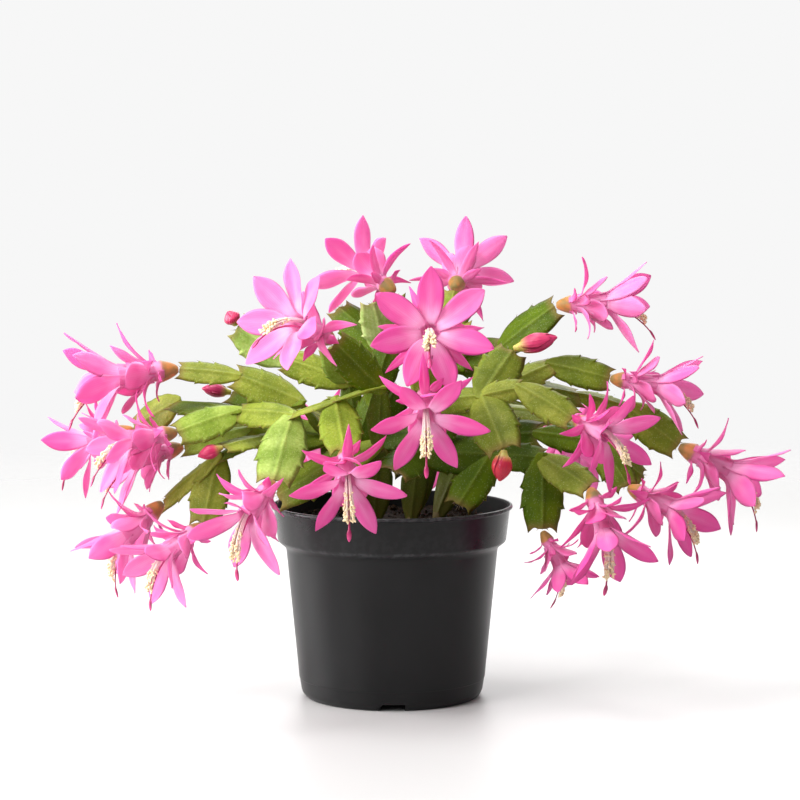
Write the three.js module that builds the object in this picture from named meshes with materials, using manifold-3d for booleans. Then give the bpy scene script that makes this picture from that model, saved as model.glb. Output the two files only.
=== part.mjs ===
// A christmas cactus in flower, in a black plastic nursery pot. Millimetres, +Z up, the pot's foot on z = 0.
// Six rooted cuttings stand in the soil. Each is a chain of flat toothed stem segments that forks and arches
// outwards, and each shoot ends in a bloom, a bud or a bare tip. Front is -Y.
import * as THREE from "three";
import { mergeVertices } from "three/addons/utils/BufferGeometryUtils.js";
import Module from "manifold-3d";

const wasm = await Module();
wasm.setup();

// ---- Driving dimensions ----

const GAP = 0.35; // clearance between pieces that touch on the real plant

const POT = {
  height: 104,
  rimRadius: 65,
  bandTopRadius: 63.4,
  bandRadius: 61.4,
  bandHeight: 20,
  bodyTopRadius: 57,
  footRadius: 49.4,
  footBevel: 3,
  lip: 1.8,
  wall: 1.6,
  floorLift: 4,
  footRing: 6,
  discRadius: 13,
  sides: 28,
  notches: 4,
  notchWidth: 14,
  holeRadius: 4.5,
  holeRing: 27,
  holes: 5,
};
const SOIL = { top: 95, lump: 1.3, rings: 4, sides: 16, pegRadius: 2.6, pegDepth: 15 };

const SEGMENT = { widthShare: 0.6, oldShare: 0.7, widest: 25, rib: 3, sunk: 3.2 };

// A flower: its foot is on the stem segment's tip, and stations along its axis are measured from there.
const FLOWER = {
  footRadius: 1.5,
  ovaryEnd: 8,
  ovaryRadius: 5,
  waistAt: 11.9,
  waistRadius: 4.5,
  throatAt: 28,
  throatRadius: 5.7,
  throatWall: 1.4,
  rootThick: 1.4,
  petalRib: 1.2,
};
// The tepals in their three whorls. faces are the sides of the tube that bear one, counted from the top, and
// none named means all round. Each shape is a share of the length with the share of the width there. lean is
// the angle from the flower's axis at the root of a trumpet-like flower, openBy is what a wide open one adds,
// curl is the turn on the way, sag is what the lowest tepals of a closed flower bend down further, to let the
// stamens out, and loose is how far a tepal may lean its own way.
const SHORT_TEPALS = {
  faces: [1, 3, 5],
  length: 12,
  width: 5.4,
  shape: [[0.5, 1]],
  lean: 60,
  openBy: 0,
  curl: 46,
  sag: 0,
  loose: 8,
};
const REFLEXED_TEPALS = {
  faces: [0, 1, 2, 4, 5],
  length: 26,
  width: 5.8,
  shape: [[0.36, 1], [0.72, 0.7]],
  lean: 42,
  openBy: 18,
  curl: 62,
  sag: 0,
  loose: 10,
};
const BROAD_TEPALS = {
  length: 29.5,
  width: 12.4,
  shape: [[0.4, 0.97], [0.74, 0.81]],
  lean: 16,
  openBy: 46,
  curl: 18,
  sag: 34,
  loose: 8,
};
const ROOM_SHARE = 0.92; // how much of the room between its neighbours a broad tepal fills
const STYLE = { reach: 33, radius: 0.6, stigmaRadius: 1.25, below: 1.8 };
const STAMENS = { sides: 6, reach: 19, radius: 1.8, above: 1.2, anthers: 6, spread: 3 };
const DROOP = 38; // how far the style and the stamens have turned down at their ends, in degrees

// ---- The plant's plan, in millimetres ----
// A shoot runs from a joint of another shoot, or from its cutting's root, to its tip. It is an arch of pieces
// equal segments, one where none is given, lifted by rise at its middle. Its flat faces look up at roll 0 and
// to the front at roll 90. wide widens it.

const CUTTINGS = {
  left: {
    root: [-21, 3],
    shoots: {
      main: { to: [-49, -12, 160], pieces: 2, rise: 12, roll: 40 },
      a: { from: ["main", 2], to: [-83, -12, 174], rise: 2, roll: 50 },
      b: { from: ["a", 1], to: [-113, -10, 177], rise: 3, roll: 36, bloom: "b01" },
      c: { from: ["main", 2], to: [-86, 10, 163], rise: 4, roll: 25, bud: "bud_4" },
      d: { from: ["main", 1], to: [-69, -20, 141], rise: 5, roll: 25 },
      e: { from: ["d", 1], to: [-92, -19, 131], rise: 1, roll: 25 },
      f: { from: ["e", 1], to: [-122, -8, 106], rise: 2, roll: 10, bloom: "b04" },
      g: { from: ["e", 1], to: [-99, -34, 98], roll: 46, bloom: "b05" },
      h: { from: ["main", 1], to: [-78, 0, 144], rise: 5, roll: 40 },
      i: { from: ["h", 1], to: [-112, 8, 134], rise: 3, roll: 34, bloom: "b02" },
      j: { from: ["d", 1], to: [-88, -34, 138], rise: 1, roll: 30, bud: "bud_5" },
    },
  },
  front_left: {
    root: [-9, -17],
    shoots: {
      main: { to: [-6, -49, 170], pieces: 2, rise: 6, roll: 30 },
      a: { from: ["main", 2], to: [-29, -46, 163], rise: 1, roll: 0 },
      b: { from: ["a", 1], to: [-52, -40, 155], rise: 1, roll: 5 },
      c: { from: ["b", 1], to: [-81, -24, 156], rise: 3, roll: 58 },
      d: { from: ["c", 1], to: [-116, 6, 158], rise: 5, roll: 18 },
      e: { from: ["d", 1], to: [-141, 26, 142], rise: 3, roll: 60, bloom: "b22" },
      f: { from: ["c", 1], to: [-112, -36, 146], rise: 4, roll: 42, bloom: "b03" },
      g: { from: ["b", 1], to: [-60, -74, 125], rise: 5, roll: 72, bloom: "b06" },
      h: { from: ["a", 1], to: [-24, -76, 141], rise: 5, roll: 76, bloom: "b07" },
      i: { from: ["main", 2], to: [-29, -54, 194], rise: 2, roll: 60, bloom: "b08" },
      j: { from: ["main", 1], to: [-60, -34, 112], rise: 6, roll: 40 },
    },
  },
  front_right: {
    root: [10, -16],
    shoots: {
      main: { to: [18, -34, 160], pieces: 2, rise: 6, roll: 50 },
      a: { from: ["main", 2], to: [20, -49, 193], rise: 2, roll: 60, bloom: "b11" },
      b: { from: ["main", 2], to: [17, -79, 172], rise: 8, roll: 20, bloom: "b12" },
      c: { from: ["main", 2], to: [47, -37, 165], rise: 3, roll: 45 },
      d: { from: ["c", 1], to: [67, -45, 170], rise: 1, roll: 55 },
      e: { from: ["d", 1], to: [93, -57, 155], rise: 3, roll: 60, bloom: "b16" },
      f: { from: ["c", 1], to: [57, -70, 141], rise: 4, roll: 78, bud: "bud_3" },
      g: { from: ["main", 1], to: [52, -24, 133], rise: 5, roll: 60 },
      h: { from: ["g", 1], to: [79, -34, 132], rise: 3, roll: 55 },
      i: { from: ["h", 1], to: [79, -37, 95], roll: 88, bloom: "b20" },
      j: { from: ["h", 1], to: [102, -54, 119], rise: 3, roll: 62, bloom: "b19" },
      k: { from: ["g", 1], to: [35, -38, 108], rise: 1, roll: 70 },
      l: { from: ["main", 1], to: [2, -58, 128], rise: 6, roll: 70 },
      m: { from: ["c", 1], to: [64, -12, 187], roll: 62, wide: 1.1, bud: "bud_1" },
      n: { from: ["main", 1], to: [34, -20, 153], rise: 2, roll: 60 },
    },
  },
  right: {
    root: [24, 2],
    shoots: {
      main: { to: [59, -8, 167], pieces: 2, rise: 8, roll: 40 },
      a: { from: ["main", 2], to: [85, -1, 179], rise: 1, roll: 35 },
      b: { from: ["a", 1], to: [116, -8, 172], rise: 3, roll: 62, bloom: "b15" },
      c: { from: ["main", 2], to: [101, 6, 162], rise: 4, roll: 30 },
      d: { from: ["c", 1], to: [127, 9, 155], rise: 2, roll: 40 },
      e: { from: ["d", 1], to: [154, 2, 135], rise: 3, roll: 52, bloom: "b17" },
      f: { from: ["main", 1], to: [78, -12, 143], rise: 5, roll: 45 },
      g: { from: ["f", 1], to: [109, -16, 139], rise: 3, roll: 40 },
      h: { from: ["g", 1], to: [124, -30, 117], rise: 2, roll: 60, bloom: "b18" },
      i: { from: ["g", 1], to: [135, -2, 118], rise: 3, roll: 60 },
    },
  },
  back_right: {
    root: [12, 18],
    shoots: {
      main: { to: [25, 16, 180], pieces: 2, rise: 4, roll: 60 },
      a: { from: ["main", 2], to: [58, 8, 187], rise: 2, roll: 50 },
      b: { from: ["a", 1], to: [87, 0, 210], rise: 1, roll: 60, bloom: "b13" },
      c: { from: ["main", 2], to: [34, 34, 217], roll: 75, bloom: "b10" },
      d: { from: ["main", 2], to: [60, 26, 174], rise: 4, roll: 35 },
      e: { from: ["main", 2], to: [44, 2, 197], rise: 1, roll: 60 },
      f: { from: ["main", 1], to: [88, 72, 140], pieces: 3, rise: 16, roll: -30, bloom: "b21" },
      g: { from: ["main", 1], to: [124, 42, 128], pieces: 3, rise: 18, roll: 10 },
      h: { from: ["main", 1], to: [26, 100, 140], pieces: 3, rise: 18, roll: -50, bloom: "b23" },
      i: { from: ["main", 2], to: [56, 54, 176], rise: 2, roll: -10 },
      j: { from: ["main", 1], to: [-2, 8, 122], roll: 65, wide: 1.1 },
    },
  },
  back_left: {
    root: [-12, 18],
    shoots: {
      main: { to: [-24, 20, 168], pieces: 2, rise: 4, roll: 50 },
      a: { from: ["main", 2], to: [-58, 22, 180], rise: 2, roll: 55 },
      b: { from: ["a", 1], to: [-84, 26, 198], rise: 1, roll: 70, wide: 1.3, bud: "bud_2" },
      c: { from: ["main", 2], to: [-4, 12, 185], roll: 60 },
      d: { from: ["c", 1], to: [1, 15, 216], roll: 76, bloom: "b09" },
      e: { from: ["c", 1], to: [-29, 28, 208], roll: 38 },
      f: { from: ["main", 2], to: [-33, 0, 188], roll: 70 },
      g: { from: ["main", 1], to: [-38, 100, 140], pieces: 3, rise: 18, roll: -50, bloom: "b24" },
      h: { from: ["main", 1], to: [-96, 70, 132], pieces: 3, rise: 18, roll: -20 },
      i: { from: ["main", 2], to: [-62, 58, 180], rise: 2, roll: -10 },
      k: { from: ["c", 1], to: [-10, 0, 212], roll: 72 },
      l: { from: ["main", 1], to: [-11, 0, 159], roll: 60 },
      m: { from: ["main", 1], to: [3, 14, 166], roll: 60, wide: 1.15 },
      n: { from: ["l", 1], to: [-2, -4, 188], roll: 62 },
      o: { from: ["main", 1], to: [12, 6, 143], roll: 55, wide: 1.15 },
    },
  },
};

// Each bloom's or bud's own aim is its axis from the stem outwards. open is how wide a bloom is, from 0, a
// trumpet, to 1, a flat star. size is against the full flower's, sides is how many its tube has, and turn is
// how far they are turned, in sides. full is how broad its inner tepals are against the full flower's.
const FULL_FLOWER = { size: 1, sides: 7, turn: 0, full: 1 };
const BLOOMS = {
  b01: { aim: [-95, -25, -10], open: 0.12, size: 1.14 },
  b02: { aim: [-94, -34, -22], open: 0.18, size: 0.95, turn: 0.35 },
  b03: { aim: [-91, -37, -12], open: 0.2, size: 0.92 },
  b04: { aim: [-73, -20, -67], open: 0.1, size: 0.96, sides: 6 },
  b05: { aim: [-70, -56, -50], open: 0.2, size: 0.92 },
  b06: { aim: [-46, -66, -57], open: 0.5, size: 0.96, sides: 6, turn: 0.5 },
  b07: { aim: [8, -84, -52], open: 0.8, size: 0.9, sides: 6, turn: 0.5, full: 0.86 },
  b08: { aim: [-62, -67, 36], open: 0.75, full: 1.15 },
  b09: { aim: [-60, 60, 36], open: 0.75, size: 0.92, sides: 6 },
  b10: { aim: [16, 86, 30], open: 0.9, size: 0.94, sides: 6 },
  b11: { aim: [-2, -97, 22], open: 1, full: 1.12 },
  b12: { aim: [1, -92, -46], open: 0.88, size: 0.94, sides: 6, turn: 0.5, full: 0.86 },
  b13: { aim: [97, -10, 6], open: 0.3, size: 0.96 },
  b15: { aim: [96, -25, -10], open: 0.25, size: 0.92 },
  b16: { aim: [60, -74, -22], open: 0.5, size: 0.88, sides: 6, full: 0.85 },
  b17: { aim: [89, -16, -42], open: 0.3, size: 1.06 },
  b18: { aim: [82, -46, -36], open: 0.35, size: 0.94 },
  b19: { aim: [24, -58, -76], open: 0.2, size: 0.96, sides: 6, turn: 0.5 },
  b20: { aim: [44, -14, -82], open: 0.3, size: 0.7 },
  b21: { aim: [60, 66, -40], open: 0.5 },
  b22: { aim: [-92, 10, -30], open: 0.2, size: 0.9, sides: 6 },
  b23: { aim: [14, 82, -52], open: 0.7 },
  b24: { aim: [-20, 82, -48], open: 0.85, sides: 6 },
};
const BUDS = {
  bud_1: { aim: [92, -16, 26], length: 24, radius: 5 },
  bud_2: { aim: [-50, -20, 84], length: 9, radius: 4.4 },
  bud_3: { aim: [-14, -20, -96], length: 16, radius: 5 },
  bud_4: { aim: [-96, -10, 14], length: 16, radius: 3.6 },
  bud_5: { aim: [-84, -24, -30], length: 14, radius: 3.6 },
};

// ---- Colours ----

const paint = (color, roughness) => new THREE.MeshStandardMaterial({ color, roughness, metalness: 0 });
const blackPlastic = paint(0x2a2a2c, 0.45);
const peat = paint(0x2b1d14, 1);
const leafGreen = paint(0x6d8a33, 0.5);
const petalPink = paint(0xee4fb0, 0.55);
const pollenCream = paint(0xf6d9a4, 0.7);
const budRed = paint(0xd6304f, 0.5);

// ---- Small tools ----

const UP = new THREE.Vector3(0, 0, 1);
const rad = THREE.MathUtils.degToRad;
const vector = (xyz) => new THREE.Vector3(...xyz);

// A repeatable number from -1 to 1 for a pair of indices: the fraction of a large sine.
function scatter(i, j) {
  const s = Math.sin(i * 12.9898 + j * 78.233) * 43758.5453;
  return 2 * (s - Math.floor(s)) - 1;
}

// A closed three.js geometry as a manifold-3d solid.
function solidOf(geometry) {
  const bare = geometry.clone();
  bare.deleteAttribute("normal");
  bare.deleteAttribute("uv");
  const merged = mergeVertices(bare, 1e-4);
  return new wasm.Manifold(
    new wasm.Mesh({
      numProp: 3,
      vertProperties: merged.attributes.position.array,
      triVerts: new Uint32Array(merged.index.array),
    }),
  );
}

// A solid from points (Vector3) and triangles of their indices.
function solidFrom(points, triangles) {
  const geometry = new THREE.BufferGeometry();
  geometry.setAttribute("position", new THREE.Float32BufferAttribute(points.flatMap((p) => p.toArray()), 3));
  geometry.setIndex(triangles.flat());
  return solidOf(geometry);
}

const joined = (solids) => solids.reduce((all, one) => all.add(one));

function meshOf(name, solid, material) {
  const { numProp, vertProperties, triVerts } = solid.getMesh();
  const position = new Float32Array((vertProperties.length / numProp) * 3);
  for (let i = 0; i < position.length / 3; i++) {
    position.set(vertProperties.subarray(i * numProp, i * numProp + 3), i * 3);
  }
  const geometry = new THREE.BufferGeometry();
  geometry.setAttribute("position", new THREE.BufferAttribute(position, 3));
  geometry.setIndex(new THREE.BufferAttribute(triVerts, 1));
  geometry.computeVertexNormals();
  const mesh = new THREE.Mesh(geometry, material);
  mesh.name = name;
  return mesh;
}

// A closed surface in the making. Rings run right-handed about the way in which the surface grows.
class Skin {
  points = [];
  triangles = [];

  ring(points) {
    return points.map((p) => this.points.push(p) - 1);
  }

  start(ring) {
    for (let k = 2; k < ring.length; k++) this.triangles.push([ring[0], ring[k], ring[k - 1]]);
  }

  end(ring) {
    for (let k = 2; k < ring.length; k++) this.triangles.push([ring[0], ring[k - 1], ring[k]]);
  }

  // The wall from ring a to ring b, left open at the sides named in open.
  wall(a, b, open = []) {
    a.forEach((_, k) => {
      const next = (k + 1) % a.length;
      if (!open.includes(k)) this.triangles.push([a[k], a[next], b[next]], [a[k], b[next], b[k]]);
    });
  }

  tip(ring, point) {
    const [apex] = this.ring([point]);
    ring.forEach((p, k) => this.triangles.push([p, ring[(k + 1) % ring.length], apex]));
  }

  // A blade grown from side k of the wall between rings a and b, through three-sided sections of an edge, a rib
  // on the outer face and the other edge, to a tip.
  blade(a, b, k, sections, tip) {
    const next = (k + 1) % a.length;
    const [c, d, e, f] = [a[k], a[next], b[next], b[k]];
    const rings = sections.map((section) => this.ring(section));
    const [left, rib, right] = rings[0];
    this.triangles.push([f, left, right], [f, right, e], [c, d, rib], [d, right, rib], [c, rib, left]);
    this.triangles.push([c, left, f], [d, e, right]);
    for (let i = 1; i < rings.length; i++) this.wall(rings[i - 1], rings[i]);
    this.tip(rings[rings.length - 1], tip);
  }

  solid() {
    return solidFrom(this.points, this.triangles);
  }
}

// A solid over rings that all have the same number of points.
function loft(sections) {
  const skin = new Skin();
  const rings = sections.map((section) => skin.ring(section));
  skin.start(rings[0]);
  for (let i = 1; i < rings.length; i++) skin.wall(rings[i - 1], rings[i]);
  skin.end(rings[rings.length - 1]);
  return skin.solid();
}

// A ring of points of one radius about a centre, square to the unit vectors side and top.
function circle(centre, side, top, radius, sides, turn = 0) {
  return Array.from({ length: sides }, (_, k) => {
    const a = turn + (k / sides) * 2 * Math.PI;
    return centre
      .clone()
      .addScaledVector(side, radius * Math.cos(a))
      .addScaledVector(top, radius * Math.sin(a));
  });
}

// The frame of a direction: along it, up as near to a wanted way as it can be, and side = up x along, so that
// side, up, along are right-handed.
function frameOf(along, wanted) {
  const a = along.clone().normalize();
  const up = wanted.clone().addScaledVector(a, -wanted.dot(a)).normalize();
  const side = up.clone().cross(a);
  return { along: a, up, side };
}

// ---- Pot ----

function pot() {
  const { height, wall, floorLift } = POT;
  const bandFoot = height - POT.bandHeight;
  const outer = [
    [POT.footRadius - POT.footBevel, 0],
    [POT.footRadius - 0.6, POT.footBevel],
    [POT.bodyTopRadius, bandFoot - 3],
    [POT.bandRadius, bandFoot + 0.5],
    [POT.bandTopRadius, height - POT.lip - 0.6],
    [POT.rimRadius, height - POT.lip],
    [POT.rimRadius - 0.6, height],
  ];
  const inner = [
    [POT.bandTopRadius - wall, height - 0.5],
    [POT.bandRadius - wall, bandFoot + 0.5],
    [POT.bodyTopRadius - wall, bandFoot - 2],
    [POT.footRadius - wall - 0.4, floorLift + wall],
    [0, floorLift + wall],
  ];
  const under = [
    [0, 0],
    [POT.discRadius, 0],
    [POT.discRadius + 1, floorLift],
    [POT.footRadius - POT.footRing - 1, floorLift],
    [POT.footRadius - POT.footRing, 0],
  ];
  const profile = [...under, ...outer, ...inner].map(([r, z]) => new THREE.Vector2(r, z));
  const turned = new THREE.LatheGeometry(profile, POT.sides).rotateX(Math.PI / 2);
  let body = solidOf(turned);

  const notchDeep = POT.footRing + 4;
  for (let i = 0; i < POT.notches; i++) {
    const notch = new THREE.BoxGeometry(POT.notchWidth, notchDeep, 2 * floorLift - 0.6)
      .translate(0, -(POT.footRadius - notchDeep / 2 + 1), 0)
      .rotateZ((i * 2 * Math.PI) / POT.notches);
    body = body.subtract(solidOf(notch));
  }
  for (let i = 0; i < POT.holes; i++) {
    const a = (i * 2 * Math.PI) / POT.holes;
    const drain = new THREE.CylinderGeometry(POT.holeRadius, POT.holeRadius, 12, 6)
      .rotateX(Math.PI / 2)
      .translate(POT.holeRing * Math.cos(a), POT.holeRing * Math.sin(a), floorLift);
    body = body.subtract(solidOf(drain));
  }
  return body;
}

// ---- Soil: fills the pot up to a lumpy top, with a plain hole for each cutting ----

function soil() {
  const { sides, rings, top, lump } = SOIL;
  const clear = POT.wall + GAP + 0.3;
  const bandFoot = POT.height - POT.bandHeight;
  const foot = POT.floorLift + POT.wall + GAP;
  const wall = [
    [POT.footRadius - clear - 0.4, foot],
    [POT.bodyTopRadius - clear - 0.3, bandFoot - 2],
    [POT.bandRadius - clear - 0.6, bandFoot + 2],
    [POT.bandRadius - clear + 0.2, top - 1],
  ];
  const topRadius = wall[wall.length - 1][0];
  const profile = [[0, foot], ...wall];
  for (let i = 1; i <= rings; i++) profile.push([topRadius * (1 - i / rings), top]);
  profile[profile.length - 1][0] = 0;
  const turned = new THREE.LatheGeometry(profile.map(([r, z]) => new THREE.Vector2(r, z)), sides);
  turned.rotateX(Math.PI / 2);
  const p = turned.attributes.position;
  for (let i = 0; i < p.count; i++) {
    if (p.getZ(i) < top - 0.1) continue;
    const a = Math.round((Math.atan2(p.getY(i), p.getX(i)) * sides) / (2 * Math.PI) + sides) % sides;
    const r = Math.round((Math.hypot(p.getX(i), p.getY(i)) * rings) / topRadius);
    p.setZ(i, top + lump * scatter(r, r === 0 ? 0 : a));
  }
  let body = solidOf(turned);
  for (const { root } of Object.values(CUTTINGS)) {
    const depth = SOIL.pegDepth + GAP;
    const hole = new THREE.CylinderGeometry(SOIL.pegRadius + 0.5, SOIL.pegRadius + 0.5, 2 * depth, 8)
      .rotateX(Math.PI / 2)
      .translate(root[0], root[1], top);
    body = body.subtract(solidOf(hole));
  }
  return body;
}

// ---- Stem segments ----

// Half an outline of a segment: how far along, and how far out as a share of half the width. Old segments at
// the foot of a shoot are worn to a plain blade, and young ones have two teeth a side and a horn at the end.
const OLD_EDGE = [
  [0, 0.24],
  [0.36, 0.86],
  [0.62, 1],
  [0.68, 0.8],
  [0.92, 0.62],
  [1, 0.26],
];
const YOUNG_EDGE = [
  [0, 0.2],
  [0.3, 0.8],
  [0.475, 1.06],
  [0.5, 0.92],
  [0.735, 1.04],
  [0.76, 0.88],
  [1.06, 0.66],
  [1, 0.24],
];
const RIB_STATIONS = [0, 0.36, 0.84, 1];

// A stem segment from a to b: a flat blade with a midrib raised on both faces and sharp toothed edges.
function segment(a, b, normal, width, edge) {
  const { along, up, side } = frameOf(b.clone().sub(a), normal);
  const length = a.distanceTo(b);
  const at = ([t, out], high = 0) =>
    a
      .clone()
      .addScaledVector(along, t * length)
      .addScaledVector(side, (out * width) / 2)
      .addScaledVector(up, high);
  const skin = new Skin();
  const ribs = [1, -1].map((face) =>
    skin.ring(RIB_STATIONS.map((t) => at([t, 0], (face * SEGMENT.rib * (t % 1 ? 1 : 0.8)) / 2))),
  );
  const edges = [1, -1].map((hand) => skin.ring(edge.map(([t, out]) => at([t, hand * out]))));
  const last = { rib: RIB_STATIONS.length - 1, edge: edge.length - 1 };
  ribs.forEach((rib, f) =>
    edges.forEach((rim, h) => {
      const put = (p, q, r) => skin.triangles.push(f === h ? [p, q, r] : [p, r, q]);
      let m = 0;
      for (let i = 0; i < last.edge; i++) {
        for (; m + 1 < last.rib && RIB_STATIONS[m + 1] <= edge[i + 1][0]; m++) put(rib[m], rib[m + 1], rim[i]);
        put(rib[m], rim[i + 1], rim[i]);
      }
      for (; m < last.rib; m++) put(rib[m], rib[m + 1], rim[last.edge]);
    }),
  );
  const [top, under] = ribs;
  const [right, left] = edges;
  skin.start([right[0], top[0], left[0], under[0]]);
  skin.end([right[last.edge], top[last.rib], left[last.edge], under[last.rib]]);
  return skin.solid();
}

// The joints of every shoot of a cutting: points on an arch (a quadratic Bezier curve) at equal shares.
function jointsOf(cutting) {
  const joints = {};
  const [x, y] = cutting.root;
  for (const [name, shoot] of Object.entries(cutting.shoots)) {
    const start = shoot.from ? joints[shoot.from[0]][shoot.from[1]] : new THREE.Vector3(x, y, SOIL.top + 1);
    const end = vector(shoot.to);
    const middle = start.clone().lerp(end, 0.5);
    middle.z += 2 * (shoot.rise ?? 0);
    joints[name] = new THREE.QuadraticBezierCurve3(start, middle, end).getPoints(shoot.pieces ?? 1);
  }
  return joints;
}

// The way a segment's face looks: up, rolled towards the front.
function faceOf(roll) {
  return new THREE.Vector3(0, -Math.sin(rad(roll)), Math.cos(rad(roll)));
}

function leafyStem(cutting, index) {
  const joints = jointsOf(cutting);
  const [x, y] = cutting.root;
  const foot = new THREE.Vector3(x, y, SOIL.top - SOIL.pegDepth);
  const collar = new THREE.Vector3(x, y, SOIL.top + 4);
  const { side, up } = frameOf(UP, new THREE.Vector3(0, 1, 0));
  const peg = [foot, collar].map((c, i) => circle(c, side, up, SOIL.pegRadius - 0.7 * i, 6));
  const pieces = [loft(peg)];
  Object.entries(cutting.shoots).forEach(([name, shoot], s) => {
    joints[name].slice(1).forEach((b, k) => {
      const a = joints[name][k];
      const roll = shoot.roll + 14 * scatter(index + 3 * s, k + 1);
      const old = !shoot.from;
      const way = b.clone().sub(a).normalize();
      const root = a.clone().addScaledVector(way, old && k === 0 ? -1 : -SEGMENT.sunk);
      const length = a.distanceTo(b);
      const share = SEGMENT.widthShare * (old ? SEGMENT.oldShare : 1) * (1 + 0.08 * scatter(s, k + index));
      const width = Math.min(SEGMENT.widest, share * length * (shoot.wide ?? 1));
      pieces.push(segment(root, b, faceOf(roll), width, old ? OLD_EDGE : YOUNG_EDGE));
    });
  });
  return joined(pieces);
}

// ---- Flowers ----

// A shoot's end: where it is and which way its last segment runs.
function tipOf(cutting, name) {
  const line = jointsOf(cutting)[name];
  const end = line[line.length - 1];
  return { end, way: end.clone().sub(line[line.length - 2]).normalize() };
}

// A flower's own frame, with its foot just clear of the segment that carries it.
function seat({ end, way }, aim, footRadius) {
  const frame = frameOf(vector(aim), UP);
  const tilt = Math.sqrt(Math.max(0, 1 - way.dot(frame.along) ** 2));
  return { ...frame, foot: end.clone().addScaledVector(way, GAP + footRadius * tilt) };
}

// The angle of a turn round a flower's axis, counted from the top in sides of the tube.
const turnedBy = ({ sides, turn }, k) => ((k + turn) * 2 * Math.PI) / sides;

// The way out from a flower's axis at a turn, left-handed side first.
function spokeOf(seated, plan, k) {
  const a = Math.PI / 2 + turnedBy(plan, k);
  return seated.side.clone().multiplyScalar(Math.cos(a)).addScaledVector(seated.up, Math.sin(a));
}

// The corners of the tube's section at a station. Its sides are centred on the turns 0, 1, 2... plus twist.
function tubeRing(seated, plan, at, radius, twist) {
  return Array.from({ length: plan.sides }, (_, k) =>
    seated.foot
      .clone()
      .addScaledVector(seated.along, at)
      .addScaledVector(spokeOf(seated, plan, k - 0.5 + twist), radius),
  );
}

// The sections and the tip of one tepal on face k, along an arc in the plane of the axis and the spoke. Within
// the whorl that goes all round, it is no wider than its neighbours leave room for.
function tepal(seated, plan, whorl, k, { at, radius, twist }) {
  const { along, foot } = seated;
  const { open, size, sides } = plan;
  const spoke = spokeOf(seated, plan, k + twist);
  const across = along.clone().cross(spoke);
  const low = (1 - Math.cos(turnedBy(plan, k + twist))) / 2;
  const own = whorl.loose * scatter(plan.number, k + whorl.length);
  const lean = rad(whorl.lean + whorl.openBy * open + whorl.sag * (1 - open) * low ** 2 + own);
  const curl = rad(whorl.curl);
  const width = whorl.faces ? whorl.width : whorl.width * plan.full;
  const centre = (s) => {
    const mean = lean + (curl * s) / 2; // the chord of an arc leans by the mean of its two ends
    const out = radius + whorl.length * size * s * Math.sin(mean);
    const on = at + whorl.length * size * s * Math.cos(mean);
    return { out, point: foot.clone().addScaledVector(along, on).addScaledVector(spoke, out) };
  };
  const sections = whorl.shape.map(([s, wide]) => {
    const { out, point } = centre(s);
    const here = lean + curl * s;
    const back = spoke.clone().multiplyScalar(Math.cos(here)).addScaledVector(along, -Math.sin(here));
    const room = whorl.faces ? Infinity : ROOM_SHARE * out * Math.tan(Math.PI / sides);
    const half = Math.min((width * size * wide) / 2, room);
    return [
      point.clone().addScaledVector(across, -half),
      point.clone().addScaledVector(back, FLOWER.petalRib),
      point.clone().addScaledVector(across, half),
    ];
  });
  return { sections, tip: centre(1).point };
}

// The line of the style or of the stamens: out of the throat and turning down on its way.
function droopLine(seated, size, offset) {
  const { along, up, foot } = seated;
  const start = foot.clone().addScaledVector(along, FLOWER.throatAt * size).addScaledVector(up, offset);
  return (reach) => {
    const angle = rad(DROOP * (0.3 + (0.7 * reach) / (STYLE.reach * size)));
    return start
      .clone()
      .addScaledVector(along, reach * Math.cos(angle))
      .addScaledVector(up, -reach * Math.sin(angle));
  };
}

// One pink body: the ovary and the tube with the tepals grown from their sides, and the style with its stigma.
function bloom(seated, plan) {
  const { size, sides } = plan;
  const skin = new Skin();
  const { ovaryEnd, ovaryRadius, waistAt, waistRadius, throatAt, throatRadius, rootThick } = FLOWER;
  const ring = (at, radius, twist = 0) => skin.ring(tubeRing(seated, plan, at * size, radius * size, twist));
  const foot = skin.ring(tubeRing(seated, plan, 0, FLOWER.footRadius, 0));
  const ovary = [ring(ovaryEnd, ovaryRadius), ring(ovaryEnd + rootThick, ovaryRadius)];
  const waist = [ring(waistAt, waistRadius, 0.5), ring(waistAt + rootThick, waistRadius, 0.5)];
  const throat = [ring(throatAt, throatRadius), ring(throatAt, throatRadius - FLOWER.throatWall)];
  skin.start(foot);
  skin.wall(foot, ovary[0]);
  skin.wall(...ovary, SHORT_TEPALS.faces);
  skin.wall(ovary[1], waist[0]);
  skin.wall(...waist, REFLEXED_TEPALS.faces);
  skin.wall(waist[1], throat[0]);
  skin.end(throat[1]);
  const grow = (whorl, [lower, upper], at, radius, twist) => {
    for (const k of whorl.faces ?? Array.from({ length: sides }, (_, i) => i)) {
      const root = { at: at * size, radius: radius * size, twist };
      const { sections, tip } = tepal(seated, plan, whorl, k, root);
      skin.blade(lower, upper, k, sections, tip);
    }
  };
  grow(SHORT_TEPALS, ovary, ovaryEnd + rootThick / 2, ovaryRadius, 0);
  grow(REFLEXED_TEPALS, waist, waistAt + rootThick / 2, waistRadius, 0.5);
  grow(BROAD_TEPALS, throat, throatAt, throatRadius - FLOWER.throatWall / 2, 0);

  const line = droopLine(seated, size, -STYLE.below);
  const reach = STYLE.reach * size;
  const style = [
    [-2, 1],
    [0.45 * reach, 1],
    [reach - 5, 1],
    [reach - 3.4, STYLE.stigmaRadius / STYLE.radius],
    [reach, 0.8],
  ].map(([s, r]) => circle(line(s), seated.side, seated.up, r * STYLE.radius, 3, Math.PI / 6));
  return skin.solid().add(loft(style));
}

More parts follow.
